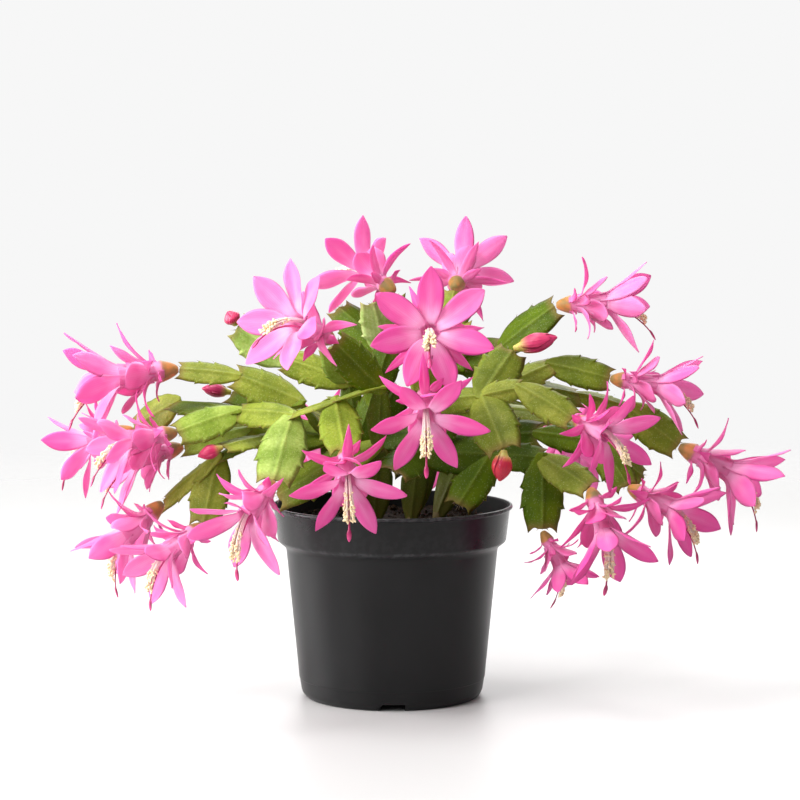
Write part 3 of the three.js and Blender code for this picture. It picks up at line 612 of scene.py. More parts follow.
def shared_group(name):
    """A node group for several materials, with named sockets, built the first time that it is asked for."""
    known = bpy.data.node_groups.get(name)
    if known:
        return known
    build, inputs, outputs = GROUPS[name]
    tree = bpy.data.node_groups.new(name, "ShaderNodeTree")
    for way, sockets in (("INPUT", inputs), ("OUTPUT", outputs)):
        for label, default in sockets.items():
            kind = "NodeSocketColor" if isinstance(default, tuple) else "NodeSocketFloat"
            tree.interface.new_socket(label, in_out=way, socket_type=kind).default_value = default
    graph = Graph(tree)
    graph.node("NodeGroupOutput", build(graph, graph.node("NodeGroupInput").outputs))
    return tree


def mottle_group(graph, given):
    """Cloudy change of colour: noise with three finer octaves picks between two colours."""
    inputs = {"Vector": graph.spot(), "Scale": given["Scale"], "Detail": 3.0}
    cloud = graph.span(graph.node("ShaderNodeTexNoise", inputs).outputs["Fac"], 0.3, 0.7)
    return {"Color": graph.mix(cloud, given["Dark"], given["Light"]), "Cloud": cloud}


def pore_group(graph, given):
    """Small round dots: where the distance to the nearest point of a scattered set is under a limit."""
    cells = graph.node("ShaderNodeTexVoronoi", {"Vector": graph.spot(), "Scale": given["Scale"]})
    return {"Mask": graph.math("LESS_THAN", cells.outputs["Distance"], given["Size"])}


def edge_group(graph, given):
    """A colour that gives way to another towards a blade's edges: across runs from -1 to 1 over it."""
    rim = graph.span(graph.math("ABSOLUTE", given["Across"]), given["Start"], 1.0)
    return {"Color": graph.lay(given["Color"], given["Tint"], rim, given["Strength"])}


def vein_group(graph, given):
    """Fine lines along a blade: the sine of how far across it is, moved a little by noise."""
    reach = graph.math("ABSOLUTE", given["Across"])
    noise = graph.node("ShaderNodeTexNoise", {"Vector": graph.spot(), "Scale": 260.0, "Detail": 2.0})
    phase = graph.add(graph.times(reach, given["Count"]), noise.outputs["Fac"])
    return {"Mask": graph.span(graph.math("SINE", graph.times(phase, TAU)), 0.2, 1.0)}


def streak_group(graph, given):
    """Uneven lines along a blade: noise drawn out lengthwise, moved on by each blade's own shift."""
    across = graph.times(given["Across"], given["Count"])
    along = graph.times(given["Along"], 1.1)
    moved = graph.times(given["Shift"], 7.3)
    drawn = graph.node("ShaderNodeCombineXYZ", {"X": across, "Y": along, "Z": moved}).outputs["Vector"]
    inputs = {"Vector": drawn, "Scale": 1.0, "Detail": 4.0, "Roughness": 0.65}
    return {"Mask": graph.span(graph.node("ShaderNodeTexNoise", inputs).outputs["Fac"], 0.34, 0.66)}


# Each group's function, its inputs and its outputs with their defaults.
GROUPS = {
    "Mottle": (mottle_group, {"Light": WHITE, "Dark": BLACK, "Scale": 60.0}, {"Color": WHITE, "Cloud": 0.5}),
    "Pores": (pore_group, {"Scale": 1400.0, "Size": 0.25}, {"Mask": 0.0}),
    "Edge tint": (
        edge_group,
        {"Color": WHITE, "Tint": rgb(1, 0, 0), "Across": 0.0, "Start": 0.8, "Strength": 1.0},
        {"Color": WHITE},
    ),
    "Veins": (vein_group, {"Across": 0.0, "Count": 9.0}, {"Mask": 0.0}),
    "Streaks": (streak_group, {"Along": 0.0, "Across": 0.0, "Shift": 0.0, "Count": 5.0}, {"Mask": 0.0}),
}


# ---- Materials ----

# The greens of the segments, from a deep one, partly painted shade, to a pale one, partly painted light
# coming through.
GREENS = [
    (0.0, rgb(0.05, 0.085, 0.002)),
    (0.25, rgb(0.13, 0.2, 0.003)),
    (0.5, rgb(0.37, 0.39, 0.065)),
    (0.7, rgb(0.45, 0.56, 0.07)),
    (0.86, rgb(0.52, 0.67, 0.2)),
    (1.0, rgb(0.68, 0.77, 0.38)),
]
# A bristle's colours from its foot to its tip, and the style's from the throat to the stigma.
BROWNS = [(0.0, rgb(0.1, 0.05, 0.02)), (1.0, rgb(0.5, 0.4, 0.25))]
CRIMSONS = [
    (0.0, rgb(0.75, 0.16, 0.36)),
    (0.5, rgb(0.34, 0.015, 0.09)),
    (0.9, rgb(0.3, 0.008, 0.08)),
    (1.0, rgb(0.6, 0.04, 0.2)),
]


def satin_black_plastic(graph):
    """Satin black plastic with a faint haze, painted highlights along the band's edges and painted shade on
    the band.
    """
    settings = bpy.context.scene.cactus_pot
    band, inside = graph.value("band"), graph.value("inside")
    haze = graph.mottle(rgb(0.006, 0.006, 0.0065), rgb(*settings.colour), 22.0)
    scuff_and_highlight_noise = graph.mottle(WHITE, BLACK, 300.0)
    # Painted highlights: paler plastic along the band's edges, broken up by the scuff noise, which also
    # gives the bump.
    worn = graph.times(graph.value("worn"), graph.span(scuff_and_highlight_noise["Cloud"], 0.2, 0.9, 0.35, 1.0))
    # Painted shade: the band is darker, as if shaded by the plant above it.
    colour = graph.lay(haze["Color"], rgb(0.001, 0.001, 0.001), band, 0.7)
    colour = graph.mix(worn, colour, rgb(0.085, 0.085, 0.09))
    rough = graph.span(haze["Cloud"], 0.0, 1.0, settings.roughness - 0.02, settings.roughness + 0.04)
    rough = graph.add(graph.math("SUBTRACT", rough, graph.times(band, 0.06)), graph.times(inside, 0.6))
    return graph.solid(colour, rough, scuff_and_highlight_noise["Cloud"], 0.02, 0.0002, Specular_IOR_Level=0.24)


def peat(graph):
    """Nearly black peat with brown lumps and paler threads."""
    lumps = graph.mottle(rgb(0.012, 0.006, 0.003), rgb(0.0015, 0.001, 0.001), 230.0)
    crumbs = graph.mottle(rgb(0.07, 0.032, 0.014), rgb(0.005, 0.003, 0.002), 900.0)
    colour = graph.mix(graph.value("fibre"), lumps["Color"], crumbs["Color"])
    return graph.solid(colour, 0.95, crumbs["Cloud"], 0.6, 0.0015, Specular_IOR_Level=0.1)


def segment_skin(graph):
    """Waxy skin with pores and brown tips, its green partly painted light and shade, a painted midrib
    highlight and groove shade.
    """
    along, across, own = (graph.value(channel) for channel in ("along", "across", "tone"))
    reach = graph.math("ABSOLUTE", across)
    green = graph.ramp(own, GREENS)
    cloud = graph.mottle(green, graph.filtered(green, rgb(0.5, 0.58, 0.34)), 75.0)
    grain = graph.mottle(WHITE, rgb(0.66, 0.7, 0.52), 700.0)
    colour = graph.mix(0.85, cloud["Color"], grain["Color"], "MULTIPLY")
    pores = graph.group("Pores", scale=900.0, size=0.25)["Mask"]
    colour = graph.lay(colour, graph.mix(0.5, green, rgb(0.62, 0.68, 0.34)), pores, 0.4)
    streaks = graph.group("Streaks", along=along, across=across, shift=own, count=4.0)["Mask"]
    colour = graph.lay(colour, graph.filtered(green, rgb(0.5, 0.62, 0.3)), streaks, 0.3)
    # Painted shade: darker lines in the grooves beside the midrib.
    groove = graph.times(graph.span(reach, 0.06, 0.16), graph.fade(reach, 0.16, 0.42))
    colour = graph.lay(colour, graph.filtered(green, rgb(0.3, 0.36, 0.2)), groove, 0.32)
    # Painted highlight: a paler line along the raised midrib.
    rib = graph.fade(reach, 0.01, 0.085)
    colour = graph.lay(colour, graph.mix(0.4, green, rgb(0.62, 0.7, 0.25)), rib, 0.16)
    fresh = graph.fade(along, 0.0, 0.4)
    colour = graph.lay(colour, graph.mix(0.4, green, rgb(0.42, 0.52, 0.04)), fresh, 0.35)
    brown = {"tint": rgb(0.3, 0.13, 0.05), "start": 0.955, "strength": 0.5}
    colour = graph.group("Edge tint", color=colour, across=across, **brown)["Color"]
    colour = graph.lay(colour, rgb(0.26, 0.13, 0.06), graph.span(along, 0.86, 1.02), 0.55)
    colour = graph.mix(graph.value("age"), colour, rgb(0.1, 0.06, 0.03))
    relief = graph.add(graph.times(grain["Cloud"], 0.5), graph.times(cloud["Cloud"], 0.5))
    relief = graph.math("SUBTRACT", relief, graph.times(pores, 0.3))
    rough = graph.span(cloud["Cloud"], 0.0, 1.0, 0.54, 0.42)
    solid = graph.solid(colour, rough, relief, 0.4, 0.0006, Specular_IOR_Level=0.13)
    return graph.lit_through(0.26, graph.mix(0.5, colour, rgb(0.55, 0.66, 0.05)), solid)


def bristle(graph):
    """Pale brown hairs, darker at the foot."""
    return graph.solid(graph.ramp(graph.value("along"), BROWNS), 0.6)


def petal_silk(graph):
    """Hot pink tepals, nearly white at the throat, deeper towards the edges and the tip, and veined."""
    settings = bpy.context.scene.cactus_flower
    along, across, tone = (graph.value(channel) for channel in ("along", "across", "tone"))
    reach = graph.math("ABSOLUTE", across)
    hot, deep, pale = (rgb(*c) for c in (settings.petal, settings.petal_deep, settings.petal_pale))
    # The bloom's and whorl's tone picks a paler or deeper pink: partly the flower's own colour, partly
    # painted light and shade.
    body = graph.mix(graph.span(tone, -1.0, 1.0), graph.mix(0.3, hot, pale), graph.mix(0.7, hot, deep))
    cloud = graph.mottle(body, graph.mix(0.4, body, deep), 70.0)
    # Pale at each tepal's foot, the flower's own colour, and on the tube's belly, where the glow is a
    # painted highlight.
    glow = graph.times(graph.fade(along, 0.02, 0.5), graph.value("glow"))
    stripe = graph.times(graph.span(reach, 0.0, 0.5, 0.34, 0.0), graph.span(along, 0.2, 0.95, 1.0, 0.1))
    colour = graph.mix(graph.math("MAXIMUM", glow, stripe), cloud["Color"], pale)
    veins = graph.group("Veins", across=across, count=7.0)["Mask"]
    colour = graph.lay(colour, deep, veins, 0.24)
    streaks = graph.group("Streaks", along=along, across=across, shift=tone, count=4.5)["Mask"]
    colour = graph.lay(colour, graph.mix(0.6, body, deep), streaks, 0.2)
    rim = graph.mix(graph.span(tone, -0.7, 0.5), graph.mix(0.5, hot, pale), deep)
    edge = {"tint": rim, "start": 0.5, "strength": 0.34}
    colour = graph.group("Edge tint", color=colour, across=across, **edge)["Color"]
    colour = graph.lay(colour, graph.mix(0.35, rim, hot), graph.span(along, 0.62, 1.0), 0.45)
    ochre = graph.mottle(rgb(0.66, 0.28, 0.035), rgb(0.2, 0.19, 0.02), 170.0)
    colour = graph.mix(graph.value("ochre"), colour, ochre["Color"])
    solid = graph.solid(colour, 0.5, graph.add(veins, streaks), 0.15, 0.0004, Sheen_Weight=0.15)
    return graph.lit_through(0.46, graph.mix(0.35, colour, pale), solid)


def style_crimson(graph):
    """The thin style in crimson, ending in a deep magenta stigma."""
    return graph.solid(graph.ramp(graph.value("along"), CRIMSONS), 0.35)


def pollen(graph):
    """Whitish filaments and grainy cream anthers."""
    filament = graph.mix(graph.value("along"), rgb(1.0, 0.72, 0.8), rgb(1.0, 0.88, 0.76))
    grains = graph.mottle(rgb(1.0, 0.9, 0.66), rgb(0.95, 0.72, 0.42), 1500.0)
    colour = graph.mix(graph.value("anther"), filament, grains["Color"])
    return graph.lit_through(0.25, colour, graph.solid(colour, 0.7, grains["Cloud"], 0.4, 0.0003))


def bud_skin(graph):
    """Closed tepals from cool pink to red by their warmth, yellow-green at the foot, with darker edges."""
    along, across = graph.value("along"), graph.value("across")
    body = graph.mix(graph.value("warmth"), rgb(0.66, 0.045, 0.19), rgb(0.74, 0.03, 0.04))
    cloud = graph.mottle(body, graph.mix(0.5, body, rgb(0.3, 0.0, 0.05)), 150.0)
    foot = graph.mottle(rgb(0.62, 0.55, 0.12), rgb(0.4, 0.4, 0.06), 150.0)
    colour = graph.mix(graph.span(along, 0.1, 0.42), foot["Color"], cloud["Color"])
    veins = graph.group("Veins", across=across, count=3.0)["Mask"]
    colour = graph.lay(colour, rgb(0.35, 0.0, 0.06), veins, 0.25)
    dark = {"tint": rgb(0.45, 0.0, 0.08), "start": 0.7, "strength": 0.4}
    colour = graph.group("Edge tint", color=colour, across=across, **dark)["Color"]
    return graph.lit_through(0.2, colour, graph.solid(colour, 0.4, veins, 0.25, 0.0004))


def studio_floor(graph):
    """A plain pale floor that fades into the room's light away from the pot."""
    settings = bpy.context.scene.cactus_stage
    away = graph.node("ShaderNodeVectorMath", {0: graph.spot()}, operation="LENGTH").outputs["Value"]
    fade = graph.span(away, settings.floor_clear, settings.floor_fade)
    solid = graph.solid(rgb(*settings.floor_colour), 0.42)
    clear = graph.node("ShaderNodeBsdfTransparent").outputs[0]
    return graph.node("ShaderNodeMixShader", {0: fade, 1: solid, 2: clear}).outputs[0]


def material_of(build):
    """The material that a function builds. It has the function's name, and is made only once."""
    name = build.__name__.replace("_", " ").capitalize()
    known = bpy.data.materials.get(name)
    if known:
        return known
    material = bpy.data.materials.new(name)
    material.use_nodes = True
    material.node_tree.nodes.clear()
    graph = Graph(material.node_tree)
    graph.node("ShaderNodeOutputMaterial", {"Surface": build(graph)})
    return material


# ---- Pot ----


def softened(corners, radius, steps=3):
    """A polyline with each inner corner cut back by radius and rounded by a quadratic arch."""
    p = np.array(corners, float)
    before, at, after = p[:-2], p[1:-1], p[2:]
    cut = np.array(radius, float)[:, None]

    def towards(other):
        leg = other - at
        far = np.linalg.norm(leg, axis=1, keepdims=True)
        return (at + leg / far * np.minimum(cut, far * 0.45))[:, None]

    arcs = bezier(towards(before), at[:, None], towards(after), np.linspace(0, 1, steps)[None, :, None])
    return np.vstack([p[:1], arcs.reshape(-1, 2), p[-1:]])


def pot_profile(height, rim):
    """The wall's section, from the underside's middle round the outside to the floor's middle inside."""
    disc, foot, _, body, band, lip = POT.values()
    step = height - STEP
    axis = 0.01  # nearly 0, so that the ends close as small rings
    # Radius, height, and how far the corner is cut back.
    corners = [
        (axis, 0, 0),
        (disc, 0, 0.5),
        (disc + 1, LIFT, 0.5),
        (foot - 7, LIFT, 0.5),
        (foot - 6, 0, 0.5),
        (foot - 3, 0, 1),
        (foot - 0.6, 3, 1.2),
        (foot + 0.5, 10.2, 0.15),
        (foot + 0.75, 10.5, 0.15),
        (body, step - 3, 1.6),
        (band, step + 0.5, 0.9),
        (lip, height - 2.4, 0.5),
        (rim, height - 1.8, 0.5),
        (rim - 0.2, height - 0.3, 0.5),
        (rim - 1.2, height, 0.6),
        (lip - WALL, height - 0.5, 0.6),
        (band - WALL, step + 0.5, 1),
        (body - WALL, step - 2, 1),
        (foot - WALL - 0.4, LIFT + WALL, 1),
        (axis, LIFT + WALL, 0),
    ]
    return softened([c[:2] for c in corners], [c[2] for c in corners[1:-1]])


def pot_shell(settings):
    """The profile turned about z. Between a notch's angles, what is lower than the notch is lifted to it.

    The turns are equal ones, and a pair a hair apart at each side of a notch, so that its sides are steep.
    """
    top = settings.height / MM
    profile = pot_profile(top, settings.rim / MM)
    radius, height = profile[:, :1], profile[:, 1:]
    half = math.asin(settings.notch_width / MM / 2 / POT["notches"])
    edges = circle(settings.notches) - TAU / 4
    hair = 0.002
    steep = (edges[:, None] + np.array([-half - hair, -half + hair, half - hair, half + hair])).ravel()
    turn = np.sort(np.concatenate([circle(180) - TAU / 4 - half * 0.37, steep]))
    cut = np.any(np.abs((turn[:, None] - edges + math.pi) % TAU - math.pi) < half, axis=1)
    in_foot_ring = radius > 30
    z = np.where(cut[None] & in_foot_ring, np.maximum(height, settings.notch_height / MM), height)

    # Painted highlights: masks for pale lines along the lip and along the band's foot.
    rim_line = bell(height - top + 1, 1.1) * (radius > POT["lip"] - 0.4)
    step_line = bell(height - top + STEP - 0.2, 0.9) * (radius > POT["band"] - 1.4)
    band = ease((height - top + STEP + 0.5) / 1.5)
    inside = (np.arange(len(profile)) > np.argmax(height[:, 0]))[:, None]
    shell = Shell("worn", "band", "inside")
    worn = np.clip(rim_line * 0.6 + step_line * 0.5, 0, 1)
    shell.add(around(radius, turn, z), worn=worn, band=band, inside=inside)
    return shell


def drill(obj, holes, radius, ring):
    """Cuts round drain holes through the pot's floor, and keeps the cut mesh."""
    drills = Shell()
    drills.add(tubes(around(ring, circle(holes)[:, None], np.array([-3.0, 12])), radius, 24))
    cutter = new_object("drain_cutter", drills.mesh("drain_cutter"))
    cut = obj.modifiers.new("Drain holes", "BOOLEAN")
    cut.operation = "DIFFERENCE"
    cut.solver = "EXACT"
    cut.object = cutter
    bpy.context.view_layer.update()
    drilled = bpy.data.meshes.new_from_object(obj.evaluated_get(bpy.context.evaluated_depsgraph_get()))
    obj.modifiers.clear()
    obj.data = drilled
    bpy.data.objects.remove(cutter)


# ---- Soil ----


def rough_ground(x, y, draw, waves=26):
    """Lumps: a sum of sine waves in random directions, each finer one lower."""
    turn = draw.uniform(0, TAU, waves)
    fine = np.geomspace(0.06, 1.6, waves)
    phase = draw.uniform(0, TAU, waves)
    way = np.multiply.outer(x, fine * np.cos(turn)) + np.multiply.outer(y, fine * np.sin(turn))
    return (np.sin(way + phase) * (fine[0] / fine) ** 0.62).sum(axis=-1)


def strewn(draw, count, rim, share):
    """Radii and turns of places scattered evenly over a share of the rim's disc."""
    return rim * np.sqrt(draw.uniform(0, share, count)), draw.uniform(0, TAU, count)


def soil_shell(draw, crumbs, fibres):
    """A turned body that fills the pot, with a rough top, loose crumbs and threads."""
    clear = WALL + GAP + 0.3
    rim = POT["band"] - clear + 0.2
    step = POT_HEIGHT / MM - STEP
    axis = 0.2  # nearly 0, so that the ends close as small rings
    top = np.linspace(axis, rim, 44)
    side = [
        (rim, SOIL_LEVEL - 2),
        (POT["band"] - clear - 0.6, step + 2),
        (POT["body"] - clear - 0.3, step - 2),
        (POT["foot"] - clear - 0.4, SOIL_FOOT),
        (axis, SOIL_FOOT),
    ]
    radius = np.concatenate([top, [r for r, _ in side]])[:, None]
    height = np.concatenate([np.full(len(top), SOIL_LEVEL), [z for _, z in side]])[:, None]
    grid = around(radius, circle(150), height)
    grid[: len(top), :, 2] += 0.75 * rough_ground(grid[: len(top), :, 0], grid[: len(top), :, 1], draw)
    shell = Shell("fibre")
    shell.add(grid, fibre=0.15)

    far, way = strewn(draw, crumbs, rim, 0.94)
    size = draw.uniform(0.5, 1.7, crumbs)[:, None]
    centre = around(far, way, SOIL_LEVEL + draw.uniform(-0.2, 1.2, crumbs))
    s = np.linspace(-0.86, 0.86, 4)
    lines = centre[:, None] + (size * s)[..., None] * unit(draw.normal(size=(crumbs, 3)))[:, None]
    skins = tubes(lines, size * np.sqrt(1 - s**2) * 0.8, 5, *squares_to(unit(lines[:, -1] - lines[:, 0])))
    shell.add(skins, fibre=draw.uniform(0, 0.8, (crumbs, 1, 1)))

    far, way = strewn(draw, fibres, rim, 0.9)
    start = around(far, way, SOIL_LEVEL + 0.6)
    run = unit(draw.normal(size=(fibres, 3)) * (1, 1, 0.28))
    bend = unit(draw.normal(size=(fibres, 3)) * (1, 1, 0.5))
    s = np.linspace(0, 1, 6)[None, :, None]
    reach = draw.uniform(3, 9, fibres)[:, None, None]
    lines = start[:, None] + reach * (run[:, None] * s + bend[:, None] * 0.5 * s * (1 - s))
    held = np.hypot(lines[..., 0], lines[..., 1]).max(axis=1) < rim - 1
    shell.add(tubes(lines[held], 0.16, 4, *squares_to(run[held])), fibre=1.0)
    return shell


# ---- Stem segments ----


def outline(key, draw):
    """An edge from base to tip through the key points, each leg bowed out by a sine, a little uneven.

    Returns how far along and how far out. Short legs, the teeth's steps, get fewer points than long ones.
    """
    at, out, bow = np.array(key, float).T
    steps = np.where(np.abs(np.diff(at)) < STEP_LEG, 3, 6)
    at[2:-4] += 0.012 * draw.normal(size=len(key) - 6) if len(key) > 6 else 0
    out = out * (1 + 0.025 * draw.normal(size=len(key)))
    legs = []
    for i, count in enumerate(steps):
        u = np.linspace(0, 1, count, endpoint=False)
        bowed = out[i] + (out[i + 1] - out[i]) * u + bow[i + 1] * np.sin(math.pi * u)
        legs.append(np.stack([at[i] + (at[i + 1] - at[i]) * u, bowed], axis=1))
    edge = np.concatenate(legs + [[(at[-1], out[-1])]])
    return edge[:, 0], edge[:, 1]


def face_of(roll):
    """The way a segment's face looks: up, rolled towards the front."""
    return np.array([0.0, -math.sin(math.radians(roll)), math.cos(math.radians(roll))])


def segment(a, b, normal, width, key, draw):
    """One segment as rings of points round its section, with how far along and across each is.

    A point lies at along x share + side x out + up x height. share slides from the midrib's place to the
    edge's with across^2, and the midrib's rows are spread as the left edge's are. height is an arch
    4 s (1 - s), less a fold that drops away from the midrib, plus a wave at the edges, plus or minus half
    the thickness, which is an ellipse over the width with a ridge on the midrib, where the columns crowd.
    """
    along, up, side = frame_of(b - a, normal)
    length = np.linalg.norm(b - a)
    left, right = outline(key, draw), outline(key, draw)
    travel = np.cumsum(np.abs(np.diff(left[0], prepend=0)) + 1e-3)
    spine = ((travel - travel[0]) / (travel[-1] - travel[0]))[:, None]
    v = np.linspace(-1, 1, 17)
    c = v * (0.5 + 0.5 * v**2)
    t, out = (np.where(c < 0, one[:, None], other[:, None]) for one, other in zip(left, right))
    share = spine + (t - spine) * c**2
    x = out * c * width / 2
    arch = draw.uniform(0.01, 0.04) * 4 * share * (1 - share) * length
    soft = 1.2
    fold = -draw.uniform(0.14, 0.3) * (np.hypot(x, soft) - soft)
    wave = draw.uniform(0.1, 0.4) * c * np.abs(c)
    wave = wave * np.sin(TAU * share * draw.uniform(0.8, 1.5) + draw.uniform(0, TAU))
    body = 0.4 + 0.55 * np.sin(math.pi * np.clip(share, 0, 1)) ** 0.5
    ridge = 0.42 * bell(x, 0.8) - 0.14 * bell(np.abs(x) - 2.1, 0.9)
    thick = np.maximum(body * np.sqrt(1 - c**2) + ridge * (1 - c**4), 0.02 * (1 - c**2))
    middle = a + share[..., None] * length * along + x[..., None] * side
    return blade(middle, arch + fold + wave, thick, up, share, c)


def joints_of(root, shoots):
    """The joints of every shoot: points of a quadratic arch at equal shares."""
    joints = {}
    for name, shoot in shoots.items():
        parent, joint = shoot.start or (None, None)
        start = joints[parent][joint] if parent else np.array([*root, SOIL_LEVEL + 1.0])
        end = np.array(shoot.to, float)
        middle = (start + end) / 2 + (0, 0, 2 * shoot.rise)
        joints[name] = bezier(start, middle, end, np.linspace(0, 1, shoot.pieces + 1)[:, None])
    return joints


def branches(index, root, shoots, settings, draw):
    """The segments of one cutting with the woody peg at its foot, and the bristles on them."""
    joints = joints_of(root, shoots)
    skin, hairs = Shell("along", "across", "tone", "age"), Shell("along")
    peg = np.array([(*root, SOIL_LEVEL + z) for z in PEG["heights"]])
    skin.add(tubes(peg[None], PEG["radii"], 14), age=0.9, tone=0.2)
    for s, (name, shoot) in enumerate(shoots.items()):
        old = not shoot.start
        for k in range(shoot.pieces):
            a, b = joints[name][k], joints[name][k + 1]
            foot = a - unit(b - a) * (1 if old and k == 0 else SUNK)
            share = settings.width_share * (OLD_SHARE if old else 1) * (1 + 0.08 * scatter(s, k + index))
            width = min(settings.widest / MM, share * np.linalg.norm(b - a) * shoot.wide)
            normal = face_of(shoot.roll + 14 * scatter(index + 3 * s, k + 1))
            key = OLD_EDGE if old else YOUNG_EDGE
            grid, along, across = segment(foot, b, normal, width, key, draw)
            age = OLD_AGES[k] * (1 - along) if old else 0.0
            skin.add(grid, along=along, across=across, tone=shoot.tone + 0.06 * scatter(s, k), age=age)
            tufts = 7 if k == shoot.pieces - 1 and not shoot.end else 3
            add_bristles(hairs, foot, b, normal, width, key, tufts, draw)
    return skin, hairs


def add_bristles(hairs, a, b, normal, width, key, tufts, draw):
    """Short tapered hairs: a fan at the segment's tip, and one in the notch behind each tooth."""
    along, up, side = frame_of(b - a, normal)
    length = np.linalg.norm(b - a)
    notches = [q for p, q in zip(key, key[1:]) if 0 < q[0] - p[0] < STEP_LEG and q[1] < p[1]]
    starts, ways = [], []
    for t, out, _ in notches:
        for hand in (-1, 1):
            starts.append(a + along * t * length + side * hand * out * width / 2)
            ways.append(along * 1.2 + side * hand + up * draw.uniform(-0.4, 0.4))
    for fan in np.linspace(-1, 1, tufts):
        starts.append(b - along * 0.4 + side * fan * 0.1 * width)
        ways.append(along + side * fan * 0.8 + up * draw.uniform(-0.5, 0.5))
    starts, ways = np.array(starts), unit(np.array(ways))
    in_notch = np.arange(len(starts)) < 2 * len(notches)
    reach = np.where(in_notch, 1.5, 2.8) * draw.uniform(0.6, 1.2, len(starts))
    s = np.linspace(0, 1, 3)
    lines = starts[:, None] + ways[:, None] * (reach[:, None] * s)[..., None]
    hairs.add(tubes(lines, 0.13 * (1 - 0.75 * s), 3, *squares_to(ways)), along=s[None, :, None])


# ---- Flowers ----

Seat = namedtuple("Seat", "foot along up side")


def seat(joints, aim, foot_radius):
    """A flower's own frame, with its foot just clear of the segment that carries it."""
    along, up, side = frame_of(aim, (0, 0, 1))
    way = unit(joints[-1] - joints[-2])
    tilt = math.sqrt(max(0.0, 1 - np.dot(way, along) ** 2))
    return Seat(joints[-1] + way * (GAP + foot_radius * tilt), along, up, side)


def spoke_of(seated, bloom, turn):
    """The way out from the axis at a turn, counted from the top in sides of the tube."""
    return swung(math.pi / 2 + (turn + bloom.turn) * TAU / bloom.sides, seated.side, seated.up)


def tube_grid(seated, bloom):
    """The tube: the profile turned about the flower's axis, with a soft rib to each side at the throat."""
    at, radius, ochre = rounded(TUBE, 3).T
    turn = np.arange(5 * bloom.sides) / 5
    ribs = 1 + 0.06 * ease((at - 10) / 16)[:, None] * np.cos(TAU * turn)
    grid = seated.foot + (at * bloom.size)[:, None, None] * seated.along
    grid = grid + (radius[:, None] * ribs * bloom.size)[..., None] * spoke_of(seated, bloom, turn)
    return grid, at, np.clip(ochre, 0, 1)


def tepal_grid(seated, whorl, face, number, bloom, draw):
    """One tepal as rings of points round its section, with how far along and across each is.

    The middle line starts in the tube's wall, and its slope from the axis is the wall's slope, eased into
    lean + curl s. In a closed flower every other one stands a little further out. The width is
    root + (1 - root) sin up to the belly and 1 - u^point beyond it. In the innermost whorl it also stays
    within an overlap on the neighbours. Across, the blade is bent by cup (1 - c^2), turned about its line by
    pinwheel (1 - s) + twist s, waved at its edges, grooved along its middle, and thins as an ellipse.
    """
    size = bloom.size
    turn = face + whorl.shift
    low = (1 - math.cos((turn + bloom.turn) * TAU / bloom.sides)) / 2
    lean = whorl.lean + whorl.open_by * bloom.open + whorl.sag * (1 - bloom.open) * low**2
    lean += whorl.loose * scatter(number, face + whorl.length)
    loose = draw.normal(size=6)
    spoke = spoke_of(seated, bloom, turn + 0.06 * loose[4])
    sideways = np.cross(seated.along, spoke)

    s = np.concatenate([[-0.1, -0.04], np.linspace(0.02, 0.985, 17)])
    eased = ease(s / 0.2)
    slope = np.radians(WALL_SLOPE + (lean - WALL_SLOPE) * eased + (whorl.curl * (1 + 0.18 * loose[1])) * s)
    step = np.diff(s, prepend=s[0]) * whorl.length * (1.04 + 0.03 * loose[5]) * size
    out = np.cumsum(step * np.sin(slope))
    on = np.cumsum(step * np.cos(slope))
    base = np.argmin(np.abs(s))
    out += whorl.radius * size - out[base] + STAGGER * (face % 2) * (1 - bloom.open) * eased
    on += whorl.at * size - on[base]

    belly = whorl.belly + 0.03 * loose[2]
    rise = whorl.root + (1 - whorl.root) * np.sin(math.pi / 2 * np.clip(s / belly, 0, 1))
    fall = 1 - np.clip((s - belly) / (1 - belly), 0, 1) ** whorl.point
    half = whorl.width * size / 2 * rise * fall
    if not whorl.faces:
        half = np.minimum(half * bloom.full, OVERLAP * out * math.tan(math.pi / bloom.sides))

    c = np.linspace(-1, 1, 11)
    twist = math.radians(whorl.pinwheel) * (1 - s) + math.radians(whorl.twist) * loose[3] * s
    back = np.cos(slope)[:, None] * spoke - np.sin(slope)[:, None] * seated.along
    wide = np.cos(twist)[:, None] * sideways + np.sin(twist)[:, None] * back
    outward = np.cos(twist)[:, None] * back - np.sin(twist)[:, None] * sideways
    cup = (0.2 + 0.1 * loose[2]) * ease(s / 0.3) * half
    wave = np.sin(TAU * (1.6 * s[:, None] + loose[0]) + 2 * c)
    ruffle = 0.35 * ease(s / 0.4)[:, None] * np.abs(c) ** 3 * wave
    groove = 0.22 * eased[:, None] * bell(c, 0.14)
    bend = cup[:, None] * (1 - c**2) + (ruffle - groove) * size
    thick = (0.16 + 0.22 * fall * rise)[:, None] * np.sqrt(1 - c**2) * size
    line = seated.foot + on[:, None] * seated.along + out[:, None] * spoke
    middle = line[:, None] + (half[:, None] * c)[..., None] * wide[:, None]
    return blade(middle, bend, thick, outward[:, None], np.clip(s, 0, 1)[:, None], c)


def flower_shell(seated, number, bloom, draw):
    """The ovary and tube with its tepals in their whorls."""
    shell = Shell("along", "across", "tone", "glow", "ochre")
    grid, at, ochre = tube_grid(seated, bloom)
    # Painted highlight: a pale band round the tube's swollen belly, given as its glow.
    belly_highlight = np.clip(1.2 - np.abs(at - 19) / 12, 0, 1)
    shell.add(grid, along=0.0, across=0.45, tone=0.1, glow=belly_highlight[:, None], ochre=ochre[:, None])
    for whorl in WHORLS:
        for face in whorl.faces or range(bloom.sides):
            grid, along, across = tepal_grid(seated, whorl, face, number, bloom, draw)
            tone = whorl.tone + bloom.tone + 0.4 * draw.uniform(-1, 1)
            shell.add(grid, along=along, across=across, tone=tone, glow=whorl.glow)
    return shell


def droop_line(seated, size, offset, reach):
    """The line of the style or the stamens: out of the throat, turning down by a part of DROOP."""
    start = seated.foot + seated.along * THROAT * size + seated.up * offset
    angle = np.radians(DROOP * (0.3 + 0.7 * reach / (STYLE["reach"] * size)))[..., None]
    return start + reach[..., None] * (np.cos(angle) * seated.along - np.sin(angle) * seated.up)


